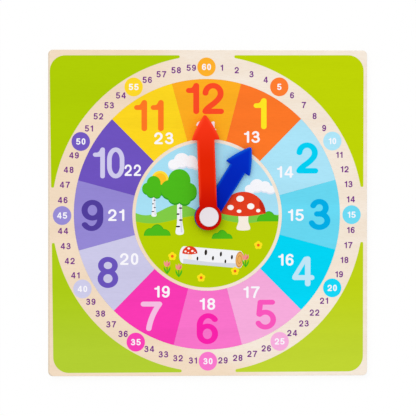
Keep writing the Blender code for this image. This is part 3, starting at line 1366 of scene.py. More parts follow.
@dataclass(frozen=True)
class HourPrint:
    """What is printed on one hour's piece. Places are from the print's middle.

    Attributes:
        ground: Colour of the whole field.
        ink: Colour of the big number.
        place: Middle of the big number.
        day_place: Middle of the little number, which is the same hour after noon.
        style: How the big number is drawn.
        day_style: How the little one is drawn.
    """

    ground: Colour
    ink: Colour
    place: Point
    day_place: Point
    style: FigureStyle
    day_style: FigureStyle = DAY_STYLE


def big(height: float, stroke_share: float, width_share: float, gap_share: float = 0.12) -> FigureStyle:
    """A big number's style, with its height in millimetres."""
    return FigureStyle(height * MM, stroke_share, gap_share, width_share)


# The numbers' size, weight and place differ a little from hour to hour
HOUR_PRINTS: dict[int, HourPrint] = {
    1: HourPrint(
        (255, 121, 41), (255, 231, 35), mm(49.8, 93.5), mm(42.2, 72.0), big(28.6, 0.160, 1.14)
    ),
    2: HourPrint(
        (173, 230, 250), (0, 208, 243), mm(94.7, 52.7), mm(73.7, 39.8), big(28.6, 0.172, 1.15)
    ),
    3: HourPrint(
        (105, 219, 245), (0, 174, 231), mm(106.4, 0.6), mm(83.8, 0.0), big(28.6, 0.172, 1.15)
    ),
    4: HourPrint(
        (1, 216, 248), (193, 232, 249), mm(90.9, -51.9), mm(74.4, -41.2), big(27.5, 0.165, 1.15)
    ),
    5: HourPrint(
        (249, 173, 222), (250, 87, 189), mm(55.3, -91.8), mm(41.9, -71.1), big(27.4, 0.165, 1.15)
    ),
    6: HourPrint(
        (251, 117, 204), (249, 34, 171), mm(0.2, -104.6), mm(0.2, -81.9), big(28.4, 0.162, 1.24)
    ),
    7: HourPrint(
        (251, 58, 181), (246, 191, 227), mm(-52.6, -93.1), mm(-42.7, -70.5), big(27.0, 0.168, 1.13)
    ),
    8: HourPrint(
        (206, 203, 234), (106, 84, 188), mm(-93.6, -52.7), mm(-73.6, -40.4), big(28.6, 0.160, 1.17)
    ),
    9: HourPrint(
        (150, 137, 214), (81, 62, 156), mm(-108.2, -0.3), mm(-85.8, 0.0), big(28.6, 0.160, 1.25)
    ),
    10: HourPrint(
        (111, 84, 192), (208, 203, 237), mm(-93.1, 48.0), mm(-70.2, 41.3), big(28.4, 0.142, 1.09, 0.07),
        TIGHT_DAY_STYLE,
    ),
    11: HourPrint(
        (255, 217, 33), (255, 120, 37), mm(-55.2, 91.6), mm(-40.9, 70.7), big(28.6, 0.165, 1.12, 0.105)
    ),
    12: HourPrint(
        (255, 176, 34), (251, 77, 39), mm(-2.3, 107.4), mm(-0.9, 80.9), big(28.6, 0.172, 1.13, 0.105)
    ),
}
WHITE_INK: Colour = (250, 248, 253)


@dataclass
class Board:
    """The backing board and the face frame, with the print round the dial.

    Attributes:
        figures: The tree that sets numbers.
        corner_radius: Round of the board's corners.
        edge_round: Round of its outer edges.
        cut_edge: Round of the edge that the dial is cut by.
        corner_steps: Count of chords on a corner.
        green_half: Half the side of the square of green.
        green_radius: Inner radius of the green corners.
        green_round: Round of their outer corner.
        green_tip: How far from the middle line a corner's tip ends.
        green_steps: Count of chords on the green's inner curve.
        ring_radius: Radius at which the minutes stand.
        dot_radius: Radius of a dot behind each fifth minute.
        dot_facets: Count of chords round it.
        dot_pale_share: How much paler its colour is than the hour's field.
        minute_ink: Colour of the minutes.
        green_shift: How far the green is printed from its place.
        greens: The corners' inks, clockwise from the top right one.
        veneer: The bare wood's material.
    """

    figures: GeometryTool
    corner_radius: float = 4.3 * MM
    edge_round: float = 0.4 * MM
    cut_edge: float = 0.06 * MM
    corner_steps: int = 14
    green_half: float = 146.45 * MM
    green_radius: float = 146.2 * MM
    green_round: float = 14.5 * MM
    green_tip: float = 25.5 * MM
    green_steps: int = 60
    ring_radius: float = 136.0 * MM
    dot_radius: float = 8.66 * MM
    dot_facets: int = 64
    dot_pale_share: float = 0.03
    minute_ink: Colour = (121, 50, 138)
    green_shift: Point = (0.57 * MM, 0.17 * MM)
    greens: tuple[Ink, ...] = (
        Ink((192, 213, 4), 0.04),
        Ink((192, 212, 22), 0.04, foot=(193, 214, 50)),
        Ink((174, 205, 20), 0.04, foot=(180, 208, 50)),
        Ink((176, 206, 4), 0.04),
    )
    veneer: bpy.types.Material = field(init=False)

    def __post_init__(self) -> None:
        """Reads the heights from the frame and makes the wood."""
        self.low, self.high = (corner.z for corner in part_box("face_frame"))
        self.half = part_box("face_frame")[1].x
        self.top_of_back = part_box("backing_board")[1].z
        self.veneer = BirchVeneer().material("birch_veneer")

    def outline(self) -> Loop:
        """The board's rounded square, anticlockwise.

        Returns:
            The outline.
        """
        half = self.half
        corners = [(half, -half), (half, half), (-half, half), (-half, -half)]
        return filleted([(x, y, self.corner_radius) for x, y in corners], self.corner_steps)

    def build(self, opening: Loop) -> None:
        """Makes the wood and prints it.

        Args:
            opening: Outline of the round opening in the face, clockwise.
        """
        self._wood(opening)
        self._corners()
        self._minutes()

    def _wood(self, opening: Loop) -> None:
        """Makes the face with its opening, and the backing with the rivet's hole and pocket.

        Args:
            opening: Outline of the dial's opening, clockwise.
        """
        outer = rounded_rows(self.low, self.high, self.edge_round, 3)
        inner = rounded_rows(self.low, self.high, self.cut_edge, 2)
        face = slab_mesh("printed_face", [(self.outline(), outer), (opening, inner)], 0, 1)
        edge = PlyEdge(self.low, self.high - self.low).material("face_ply_edge")
        put("printed_face", face, (edge, self.veneer), "board", ["face_frame"])

        rivet = Rivet()
        outer = rounded_rows(0.0, self.top_of_back, self.edge_round, 3)
        wider = rivet.pocket_radius - rivet.hole_radius
        pocket = [(wider, 0.0), (wider, rivet.pocket_depth)]
        bored = pocket + [(0.0, rivet.pocket_depth), (0.0, self.top_of_back)]
        back = slab_mesh("backing", [(self.outline(), outer), (rivet.hole(), bored)], 0, 1)
        edge = PlyEdge(0.0, self.top_of_back).material("backing_ply_edge")
        put("backing_panel", back, (edge, self.veneer), "board", ["backing_board"])

    def _corners(self) -> None:
        """The four green corners, each between the square and the dial's ring."""
        half, radius, tip = self.green_half, self.green_radius, self.green_tip
        rise = math.sqrt(radius**2 - tip**2)
        round_tip = (half - rise) / 2
        start = math.degrees(math.atan2(tip, rise))
        curve = arc(ORIGIN, (radius, radius), 90 - start, start, self.green_steps)[1:-1]
        corners = [
            (rise, tip, round_tip),
            (half, tip, round_tip),
            (half, half, self.green_round),
            (tip, half, round_tip),
            (tip, rise, round_tip),
            *((x, y, 0.0) for x, y in curve),
        ]
        outline = filleted(corners, self.corner_steps)
        names = ("top_right", "bottom_right", "bottom_left", "top_left")
        for index, (name, green) in enumerate(zip(names, self.greens)):
            turned = SHEET.laid(moved(outline, self.green_shift, -90.0 * index))
            mesh = film_mesh(f"green_{name}", [(turned, 0)], *SHEET.span(self.high))
            ink = green.material(f"green_ink_{name}")
            put(f"green_corner_{name}", mesh, (ink,), "board")

    def _minutes(self) -> None:
        """The ring of minutes, with a dot of the hour's colour behind each fifth one."""
        low, high = SHEET.span(self.high)
        angle = 360.0 / MINUTES
        fifths, others = (
            {
                minute: SHEET.on_board(polar(self.ring_radius, minute * angle))
                for minute in range(1, MINUTES + 1)
                if (minute % MINUTES_PER_HOUR == 0) == is_fifth
            }
            for is_fifth in (True, False)
        )
        self._dots(fifths, low, high)
        for name, style, colour, numbers, lift in (
            ("minute_numbers", MINUTE_STYLE, self.minute_ink, others, 0.0),
            ("dot_numbers", DOT_STYLE, WHITE_INK, fifths, SHEET.film),
        ):
            figures = Figures(style, self.figures, low + lift, high + lift)
            ink = Ink(colour, grain_share=0.03).material(f"{name}_ink")
            put(name, figures.set(name, numbers, ink), (ink,), "board")
            figures.clear()

    def _dots(self, places: dict[int, Point], low: float, high: float) -> None:
        """Prints the dots, each in its hour's colour.

        Args:
            places: Each dot's minute and middle.
            low: Height of the film's underside.
            high: Height of its top.
        """
        layout = points_mesh("dot_layout", [(x, y, (low + high) / 2) for x, y in places.values()])
        colours = layout.attributes.new("ink_colour", "FLOAT_COLOR", "POINT")
        for item, minute in zip(colours.data, places):
            ground = HOUR_PRINTS[minute // MINUTES_PER_HOUR].ground
            item.color = linear(tuple(round(c + (255 - c) * self.dot_pale_share) for c in ground))
        ink = DotInk().material("dot_ink")
        values = {"Dot Radius": self.dot_radius, "Film": high - low, "Facets": self.dot_facets, "Ink": ink}
        dots = dot_tool().run("minute_dots", values, layout)
        put("minute_dots", dots, (ink,), "board")


@dataclass
class HourPieces:
    """The loose pieces of the dial, one for each hour, each with its two numbers.

    Attributes:
        figures: The tree that sets numbers.
        recess_radius: Radius of the opening, before the print's stretch.
        disc_radius: Radius of the picture disc in the same way.
        packed_gap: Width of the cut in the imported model.
        cut: Width of the cut round each piece.
        edge: Round of its edges.
        steps: Count of facets along a piece's arc.
    """

    figures: GeometryTool
    recess_radius: float = 125.0 * MM
    disc_radius: float = 70.0 * MM
    packed_gap: float = 0.30 * MM
    cut: float = 0.03 * MM
    edge: float = 0.015 * MM
    steps: int = 24

    def __post_init__(self) -> None:
        """Reads the heights from the frame."""
        self.low, self.high = (corner.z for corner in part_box("picture_disc"))
        self.inner_radius = self.disc_radius + self.packed_gap - self.cut

    def opening(self) -> Loop:
        """The round opening that the pieces lie in, clockwise."""
        return SHEET.laid(circle(self.recess_radius, HOURS * self.steps))[::-1]

    def build(self) -> None:
        """Makes the pieces and prints their numbers."""
        tool = sector_tool()
        wood = PlyEdge(self.low, self.high - self.low).material("piece_ply_edge")
        white = Ink(WHITE_INK, grain_share=0.02).material("white_ink")
        for hour, design in HOUR_PRINTS.items():
            body = f"hour_piece_{hour:02d}"
            paint = Ink(design.ground).material(f"field_ink_{hour:02d}")
            sizes = {
                "Outer Radius": self.recess_radius - self.cut,
                "Inner Radius": self.inner_radius,
                "Hour Angle": math.tau * hour / HOURS,
                "Span": math.tau / HOURS,
                "Cut": self.cut,
                "Low": self.low,
                "Thickness": self.high - self.low,
                "Edge": self.edge,
                "Steps": self.steps + 1,
                "Wood": wood,
                "Print": paint,
            }
            mesh = tool.run(f"piece_{hour:02d}", sizes)
            SHEET.lay(mesh)
            put(f"printed_piece_{hour:02d}", mesh, (wood, paint), body, [body])
            ink = Ink(design.ink, grain_share=0.03).material(f"hour_ink_{hour:02d}")
            later = hour + HOURS
            self._number(f"hour_number_{hour:02d}", hour, hour, design.place, design.style, ink)
            self._number(f"day_number_{later}", later, hour, design.day_place, design.day_style, white)

    def _number(
        self,
        name: str,
        number: int,
        hour: int,
        place: Point,
        style: FigureStyle,
        ink: bpy.types.Material,
    ) -> None:
        """Prints one number on an hour's piece.

        Args:
            name: The print's name.
            number: The number.
            hour: The piece's hour.
            place: The number's middle, from the print's middle.
            style: How it is drawn.
            ink: Its material.
        """
        figures = Figures(style, self.figures, *SHEET.span(self.high))
        mesh = figures.set(name, {number: moved([place], SHEET.shift)[0]}, ink)
        figures.clear()
        put(name, mesh, (ink,), f"hour_piece_{hour:02d}")


class PictureInk(Enum):
    """The picture's inks, in the order of its material numbers."""

    SKY = (168, 225, 246)
    CLOUD = (250, 250, 254)
    CLOUD_SHADE = (224, 232, 246)
    SUN = (255, 222, 60)
    SUN_HEART = (255, 196, 40)
    FAR_HILL = (130, 205, 70)
    GRASS = (184, 207, 3)
    BUSH = (78, 188, 28)
    BUSH_SHADE = (52, 160, 34)
    BARK = (246, 246, 250)
    BARK_SHADE = (216, 220, 230)
    MARK = (38, 30, 24)
    CAP = (228, 62, 32)
    CAP_SHADE = (196, 40, 22)
    SPOT = (255, 250, 246)
    STEM = (250, 240, 226)
    GILLS = (238, 206, 176)
    PETAL = (255, 228, 30)
    HEART = (244, 110, 30)
    BLOOM = (244, 150, 138)
    BLOOM_SHADE = (226, 116, 108)
    WOOD_END = (238, 176, 96)
    WOOD_RING = (204, 134, 62)

    def __new__(cls, *colour: int) -> "PictureInk":
        """Numbers an ink and keeps its colour.

        Args:
            colour: The colour's three channels.

        Returns:
            The ink.
        """
        ink = object.__new__(cls)
        ink._value_ = len(cls.__members__)
        ink.colour = colour
        return ink


@dataclass
class PictureDisc:
    """The fixed disc in the dial's middle, printed with a meadow.

    The picture is drawn in millimetres from the dial's middle.

    Attributes:
        pieces: The pieces round the disc.
        picture_radius: Radius of the print, outside which the wood stays bare.
        edge: Round of the disc's edge.
        facets: Count of chords round the disc.
        layers: What is drawn so far: each outline and its ink's number.
    """

    pieces: HourPieces
    picture_radius: float = 67.2 * MM
    edge: float = 0.05 * MM
    facets: int = 288
    layers: list[tuple[Loop, int]] = field(default_factory=list)

    def build(self, veneer: bpy.types.Material) -> None:
        """Makes the disc and prints it.

        Args:
            veneer: The bare wood's material.
        """
        pieces = self.pieces
        rows = rounded_rows(pieces.low, pieces.high, self.edge, 2)
        hole = Rivet().hole()
        rim = SHEET.laid(circle(pieces.inner_radius - pieces.cut, self.facets))
        mesh = slab_mesh("disc", [(rim, rows), (hole, rows)], 0, 1)
        edge = PlyEdge(pieces.low, pieces.high - pieces.low).material("disc_ply_edge")
        put("wooden_disc", mesh, (edge, veneer), "board", ["picture_disc"])
        self._draw()
        self.layers.append((hole[::-1], -1))
        mesh = film_mesh("meadow", self.layers, *SHEET.span(pieces.high), clip=True)
        inks = [Ink(ink.colour, 0.04).material(f"picture_{ink.name.lower()}") for ink in PictureInk]
        put("meadow_print", mesh, inks, "board")

    def _add(
        self, ink: PictureInk, outline: Loop, place: Point = ORIGIN, scale: float = 1.0, angle: float = 0.0
    ) -> None:
        """Lays an outline over what is drawn so far, with its own origin at a place in the picture."""
        placed = moved(moved(outline, place, angle, scale), ORIGIN, 0.0, MM)
        self.layers.append((SHEET.laid(placed), ink.value))

    def _draw(self) -> None:
        """The whole picture, from the sky forwards."""
        self._add(PictureInk.SKY, circle(self.picture_radius / MM, self.facets))
        self._sun((-44.0, 33.0), 8.0)
        self._cloud((-20.0, 47.0), 9.0)
        self._cloud((50.0, 24.0), 8.0)
        self._ground(PictureInk.FAR_HILL, 5.0, 5.0, 62.0, 20.0)
        self._tree((-50.0, 0.0), 0.62)
        self._ground(PictureInk.GRASS, -4.0, 3.5, 88.0, -30.0)
        self._bush((58.0, -6.0), 8.0)
        self._toadstool((34.0, -12.0), 1.0)
        self._bush((14.0, -22.0), 7.0)
        self._tree((-26.0, -16.0), 1.0)
        self._bush((-47.0, -19.0), 9.0)
        self._log((4.0, -39.0), 8.0)
        self._toadstool((-16.5, -40.0), 0.34)
        for place in ((-33.0, -38.0), (48.0, -28.0), (-6.0, -58.0), (26.0, -52.0)):
            self._flower(place, 3.0)
        for place in ((-38.0, -47.0), (-27.0, -50.0), (36.0, -41.0)):
            self._bloom(place, 5.0)

    def _ground(self, ink: PictureInk, level: float, swell: float, length: float, start: float) -> None:
        """Ground whose top edge rises and falls.

        Args:
            ink: Its ink.
            level: Mean height of the edge.
            swell: How far the edge rises over that.
            length: From one rise to the next.
            start: X where a rise begins.
        """
        reach = self.picture_radius / MM + 1
        steps = 40
        places = [reach - 2 * reach * step / steps for step in range(steps + 1)]
        top = [(x, level + swell * math.sin(math.tau * (x - start) / length)) for x in places]
        self._add(ink, [(-reach, -reach), (reach, -reach), *top])

    def _sun(self, place: Point, radius: float) -> None:
        """A low sun with a deeper heart."""
        for ink, share in ((PictureInk.SUN, 1.0), (PictureInk.SUN_HEART, 0.72)):
            self._add(ink, circle(radius * share, 40, place))

    def _cloud(self, place: Point, size: float) -> None:
        """A cloud of round puffs on a shaded foot.

        Args:
            place: Its middle.
            size: About a third of its width.
        """
        x, y = place
        puffs = (
            (-1.2, 0.0, 0.62, 0.5),
            (-0.4, 0.42, 0.8, 0.72),
            (0.55, 0.3, 0.66, 0.6),
            (1.2, -0.04, 0.6, 0.42),
        )
        for ink, drop in ((PictureInk.CLOUD_SHADE, -0.18), (PictureInk.CLOUD, 0.0)):
            for dx, dy, wide, high in puffs:
                centre = (x + dx * size, y + (dy + drop) * size)
                self._add(ink, arc(centre, (wide * size, high * size), 0, 345, 23))

    def _bush(self, place: Point, size: float) -> None:
        """Three round heads on a flat foot.

        Args:
            place: The middle of its foot.
            size: About its height.
        """
        x, y = place
        heads = ((-0.75, 0.62, 0.75), (0.7, 0.66, 0.66), (0.0, 0.78, 1.12))
        for ink, growth in ((PictureInk.BUSH_SHADE, 1.06), (PictureInk.BUSH, 1.0)):
            scale = size * growth
            for dx, wide, high in heads:
                self._add(ink, arc((x + dx * size, y), (wide * scale, high * scale), 0, 180, 16))

    def _tree(self, foot: Point, scale: float) -> None:
        """A birch: a pale trunk with dark marks under a round crown.

        Args:
            foot: The foot of its trunk.
            scale: Its scale.
        """
        right = [(3.8, -1.0), (2.6, 10.0), (2.4, 26.0), (1.2, 44.0)]
        left = [(-1.4, 44.0), (-2.2, 24.0), (-2.4, 9.0)]
        shade = [(1.0, 0.0), (2.9, 0.0), (1.9, 10.0), (1.7, 26.0), (0.8, 40.0), (0.2, 26.0)]
        marks = ((-1.5, 5.5, 2.2), (1.2, 11.5, 1.8), (-1.4, 17.0, 1.6), (1.0, 22.5, 1.7), (-1.0, 28.0, 1.3))
        crown = ((-9.0, 40.0, 8.5), (8.5, 38.0, 8.0), (0.0, 48.0, 10.5), (-4.0, 34.0, 7.0), (5.0, 32.0, 6.0))
        self._add(PictureInk.BARK, smooth([(-3.6, -1.0), *right, *left], 4), foot, scale)
        self._add(PictureInk.BARK_SHADE, shade, foot, scale)
        for x, y, wide in marks:
            self._add(PictureInk.MARK, arc((x, y), (wide, 0.75), 0, 336, 14), foot, scale)
        for ink, drop in ((PictureInk.BUSH_SHADE, -1.6), (PictureInk.BUSH, 0.0)):
            for x, y, radius in crown:
                self._add(ink, circle(radius, 28, (x, y + drop)), foot, scale)

    def _toadstool(self, foot: Point, scale: float) -> None:
        """A toadstool with a spotted cap.

        Args:
            foot: The foot of its stem.
            scale: Its scale.
        """
        stem = smooth([(-6.0, -1.5), (6.0, -1.5), (4.6, 6.0), (4.2, 16.0), (-4.2, 16.0), (-4.6, 6.0)], 4)
        middle, radii = (0.0, 13.5), (21.0, 20.0)
        under = bent((-21.0, 13.5), (0.0, 8.0), (21.0, 13.5), 16)[1:-1]
        dark_side = bent((15.5, 26.0), (13.0, 17.0), (21.0, 13.0), 10)[1:-1]
        spots = (
            (-12.0, 19.0, 3.0, 2.4),
            (-3.0, 27.0, 3.6, 2.8),
            (7.0, 20.0, 3.4, 2.8),
            (-4.0, 15.5, 2.2, 1.6),
            (14.0, 16.0, 2.0, 1.6),
        )
        self._add(PictureInk.STEM, stem, foot, scale)
        self._add(PictureInk.GILLS, arc((0.0, 14.0), (13.0, 3.2), 0, 350, 35), foot, scale)
        self._add(PictureInk.CAP, arc(middle, radii, 0, 180, 40) + under, foot, scale)
        self._add(PictureInk.CAP_SHADE, arc(middle, radii, -2, 40, 10) + dark_side, foot, scale)
        for x, y, wide, high in spots:
            self._add(PictureInk.SPOT, arc((x, y), (wide, high), 0, 340, 17), foot, scale)

    def _log(self, place: Point, radius: float) -> None:
        """A felled birch that lies in the grass, with its rings at the near end.

        Args:
            place: Its middle.
            radius: The trunk's radius.
        """
        long = radius * 3.3
        slope = -5.0
        flat = radius * 0.5
        near_end = arc((long, 0.0), (flat, radius), -90, 90, 16)
        far_end = arc((-long, 0.0), (flat, radius), 90, 270, 16)
        self._add(PictureInk.BARK, near_end + far_end, place, 1.0, slope)
        edge = [(long, -radius * 0.45), (0.0, -radius * 0.6), (-long, -radius * 0.45)]
        under = [(-long, -radius), (long, -radius), *edge]
        self._add(PictureInk.BARK_SHADE, under, place, 1.0, slope)
        marks = (
            (-0.72, 0.4, 0.16),
            (-0.5, -0.3, 0.12),
            (-0.22, 0.5, 0.18),
            (0.05, -0.1, 0.14),
            (0.32, 0.45, 0.15),
            (0.5, -0.35, 0.12),
            (0.72, 0.2, 0.14),
        )
        for along, across, wide in marks:
            size = (wide * radius * 0.9, wide * radius * 1.9)
            mark = arc((along * long, across * radius), size, 0, 330, 11)
            self._add(PictureInk.MARK, mark, place, 1.0, slope)
        for index, share in enumerate((0.94, 0.82, 0.5, 0.4)):
            ink = PictureInk.WOOD_END if index % 2 else PictureInk.WOOD_RING
            ring = arc((long, 0.0), (flat * share, radius * share), 0, 345, 23)
            self._add(ink, ring, place, 1.0, slope)

    def _flower(self, place: Point, size: float) -> None:
        """Five round petals round a heart.

        Args:
            place: Its middle.
            size: About its radius.
        """
        for petal in range(5):
            middle = moved([(0.0, size * 0.72)], place, 72.0 * petal)[0]
            self._add(PictureInk.PETAL, circle(size * 0.62, 16, middle))
        self._add(PictureInk.HEART, circle(size * 0.46, 16, place))

    def _bloom(self, place: Point, size: float) -> None:
        """A tulip on a stalk between two leaves.

        Args:
            place: The middle of the cup's foot.
            size: The cup's height.
        """
        stalk = [(-0.09, -1.5), (0.09, -1.5), (0.09, 0.1), (-0.09, 0.1)]
        leaf = bent((0.0, -1.5), (0.75, -0.9), (0.62, -0.1), 8)
        leaf += bent((0.62, -0.1), (0.15, -0.6), (0.0, -1.5), 8)[1:-1]
        half = [(0.0, -0.15), (0.55, 0.2), (0.52, 0.95), (0.26, 0.6), (0.0, 1.05)]
        cup = smooth(half + [(-x, y) for x, y in half[3:0:-1]], 3)
        side = [(0.0, -0.1), (0.48, 0.2), (0.44, 0.75), (0.2, 0.4)]
        self._add(PictureInk.BUSH_SHADE, stalk, place, size)
        self._add(PictureInk.BUSH, leaf, place, size)
        self._add(PictureInk.BUSH, [(-x, y) for x, y in leaf], place, size)
        self._add(PictureInk.BLOOM, cup, place, size)
        self._add(PictureInk.BLOOM_SHADE, side, place, size)


@dataclass
class Hand:
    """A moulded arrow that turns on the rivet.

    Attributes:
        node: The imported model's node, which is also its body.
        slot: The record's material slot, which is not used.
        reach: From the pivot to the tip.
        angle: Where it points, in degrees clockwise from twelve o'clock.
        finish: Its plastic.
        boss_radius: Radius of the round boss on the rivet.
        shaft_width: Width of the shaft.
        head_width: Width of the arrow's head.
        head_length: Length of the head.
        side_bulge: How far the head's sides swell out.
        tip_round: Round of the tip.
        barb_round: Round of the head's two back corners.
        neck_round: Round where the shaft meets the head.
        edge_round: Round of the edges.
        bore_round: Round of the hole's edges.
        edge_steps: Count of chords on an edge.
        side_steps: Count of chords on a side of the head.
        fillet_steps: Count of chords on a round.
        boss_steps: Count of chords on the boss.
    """

    node: str
    slot: str
    reach: float
    angle: float
    finish: HandPlastic
    boss_radius: float = 12.3 * MM
    shaft_width: float = 16.4 * MM
    head_width: float = 26.7 * MM
    head_length: float = 23.1 * MM
    side_bulge: float = 1.2 * MM
    tip_round: float = 1.9 * MM
    barb_round: float = 0.9 * MM
    neck_round: float = 0.4 * MM
    edge_round: float = 0.7 * MM
    bore_round: float = 0.1 * MM
    edge_steps: int = 5
    side_steps: int = 8
    fillet_steps: int = 8
    boss_steps: int = 96

    def outline(self) -> Loop:
        """The arrow along +Y from its round boss, anticlockwise.

        Returns:
            The outline.
        """
        shaft = self.shaft_width / 2
        neck = self.reach - self.head_length
        head_half = self.head_width / 2
        half_point = math.atan2(head_half + 4 * self.side_bulge, self.head_length)
        apex = self.reach + self.tip_round * (1 / math.sin(half_point) - 1)
        side = [(shaft, neck, self.neck_round), (head_half, neck, self.barb_round)]
        for step in range(1, self.side_steps):
            along = step / self.side_steps
            bulge = self.side_bulge * 4 * along * (1 - along)
            side.append((head_half * (1 - along) + bulge, neck + (apex - neck) * along, 0.0))
        other_side = [(-x, y, radius) for x, y, radius in reversed(side)]
        junction = math.degrees(math.asin(shaft / self.boss_radius))
        sweep = 360.0 - 2 * junction
        turns = [junction + sweep * step / self.boss_steps for step in range(self.boss_steps + 1)]
        boss = [(*polar(self.boss_radius, -turn), 0.0) for turn in turns]
        corners = side + [(0.0, apex, self.tip_round)] + other_side + boss
        return filleted(corners, self.fillet_steps)

    def build(self) -> None:
        """Makes the hand at its place in the frame."""
        rivet = Rivet()
        low, high = (corner.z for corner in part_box(self.node))
        rows = rounded_rows(low, high, self.edge_round, self.edge_steps)
        outer = moved(self.outline(), rivet.pivot, -self.angle)
        bore = rounded_rows(low, high, self.bore_round, 2)
        mesh = slab_mesh(self.node, [(outer, rows), (rivet.hole(), bore)])
        finish = replace(
            self.finish,
            start=rivet.pivot,
            end=moved([polar(self.reach, self.angle)], rivet.pivot)[0],
            shaft_half=self.shaft_width / 2,
            head_half=self.head_width / 2,
            head_length=self.head_length,
            boss_radius=self.boss_radius,
        )
        plastic = finish.material(f"{self.node}_plastic")
        put(f"moulded_{self.node}", mesh, (plastic,), self.node, [self.node])


@dataclass
class Rivet:
    """The two-part rivet and the spacers round it, all turned shapes.

    Attributes:
        clearance: Room round the post.
        facets: Count of facets round each shape.
        post_bore: Radius of the post's bore.
        post_radius: Outer radius of the post.
        flange_thickness: Thickness of the flange at its foot.
        shank_clearance: Room round the cap's shank in the bore.
        cap_round: Round of the cap's edge.
        cap_steps: Count of chords on that.
        cap_rim: Width of the rim round the cap's top.
        cap_dish: How deep the top is dished inside its rim.
        edge: Round of the small edges.
    """

    clearance: float = 0.3 * MM
    facets: int = 96
    post_bore: float = 2.6 * MM
    post_radius: float = 4.0 * MM
    flange_thickness: float = 1.0 * MM
    shank_clearance: float = 0.3 * MM
    cap_round: float = 0.6 * MM
    cap_steps: int = 6
    cap_rim: float = 0.7 * MM
    cap_dish: float = 0.12 * MM
    edge: float = 0.15 * MM

    def __post_init__(self) -> None:
        """Reads places and radii from the frame."""
        low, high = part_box("rivet_cap")
        self.pivot: Point = ((low.x + high.x) / 2, (low.y + high.y) / 2)
        self.cap_low = low.z
        self.cap_top = high.z
        self.cap_radius = (high.x - low.x) / 2
        self.hole_radius = self.post_radius + self.clearance
        post_low, post_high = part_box("rivet_post")
        self.flange_radius = (post_high.x - post_low.x) / 2
        self.post_low, self.post_high = post_low.z, post_high.z
        self.pocket_radius = self.flange_radius + self.clearance
        self.pocket_depth = self.post_low + self.flange_thickness + self.clearance

    def hole(self) -> Loop:
        """The outline of a hole that goes round the post, clockwise."""
        return circle(self.hole_radius, self.facets, self.pivot)[::-1]

    def build(self) -> None:
        """Makes the post, the cap and the two spacers."""
        white = MouldedPlastic((232, 224, 229), (233, 226, 230), (234, 228, 232), gloss=0.3)
        white_plastic = white.material("white_plastic_finish")
        self._put("cap", self._cap_profile(), white_plastic, "rivet_cap")
        self._put("post", self._post_profile(), white_plastic, "rivet_post")
        grey = MouldedPlastic((222, 220, 214), (224, 222, 216), (226, 224, 218), roughness=0.42)
        grey_plastic = grey.material("spacer_finish")
        for node in ("lower_spacer", "middle_spacer"):
            low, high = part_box(node)
            profile = self._ring_profile(self.hole_radius, (high.x - low.x) / 2, low.z, high.z)
            self._put(node, profile, grey_plastic, node)

    def _put(self, name: str, profile: Loop, material: bpy.types.Material, node: str) -> None:
        """Turns a profile and puts it on the pivot.

        Args:
            name: The shape's name.
            profile: Its profile.
            material: Its material.
            node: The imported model's node that it stands for.
        """
        mesh = turned_mesh(name, profile, self.facets)
        mesh.transform(Matrix.Translation((*self.pivot, 0.0)))
        put(f"turned_{name}", mesh, (material,), "board", [node])

    def _ring_profile(self, inner: float, outer: float, low: float, high: float) -> Loop:
        """Draws a washer with softened outer edges.

        Args:
            inner: Its inner radius.
            outer: Its outer radius.
            low: Height of its underside.
            high: Height of its top.

        Returns:
            The profile.
        """
        edge = self.edge
        return [
            (inner, high),
            (outer - edge, high),
            (outer, high - edge),
            (outer, low + edge),
            (outer - edge, low),
            (inner, low),
        ]

    def _post_profile(self) -> Loop:
        """Draws a tube with a flange at its foot.

        Returns:
            The profile.
        """
        flange_top = self.post_low + self.flange_thickness
        edge = self.edge
        return [
            (self.post_bore, self.post_high),
            (self.post_radius - edge, self.post_high),
            (self.post_radius, self.post_high - edge),
            (self.post_radius, flange_top),
            (self.flange_radius - edge, flange_top),
            (self.flange_radius, flange_top - edge),
            (self.flange_radius, self.post_low + edge),
            (self.flange_radius - edge, self.post_low),
            (self.post_bore + edge, self.post_low),
            (self.post_bore, self.post_low + edge),
        ]

    def _cap_profile(self) -> Loop:
        """Draws a cap that is lightly dished inside a round rim, over its shank.

        Returns:
            The profile.
        """
        top, radius = self.cap_top, self.cap_radius
        inside = radius - self.cap_rim - self.cap_round / 2
        rim = []
        for step in range(self.cap_steps + 1):
            turn = math.pi / 2 * step / self.cap_steps
            across = radius - self.cap_round * (1 - math.sin(turn))
            rim.append((across, top - self.cap_round * (1 - math.cos(turn))))
        shank = self.post_bore - self.shank_clearance
        under = self.post_high + self.clearance
        return [
            (0.0, top - self.cap_dish),
            (inside - self.cap_dish * 3, top - self.cap_dish),
            (inside, top - self.cap_dish / 2),
            (inside + self.cap_dish * 2, top),
            *rim,
            (radius, under),
            (shank, under),
            (shank, self.cap_low + self.edge),
            (shank - self.edge, self.cap_low),
            (0.0, self.cap_low),
        ]


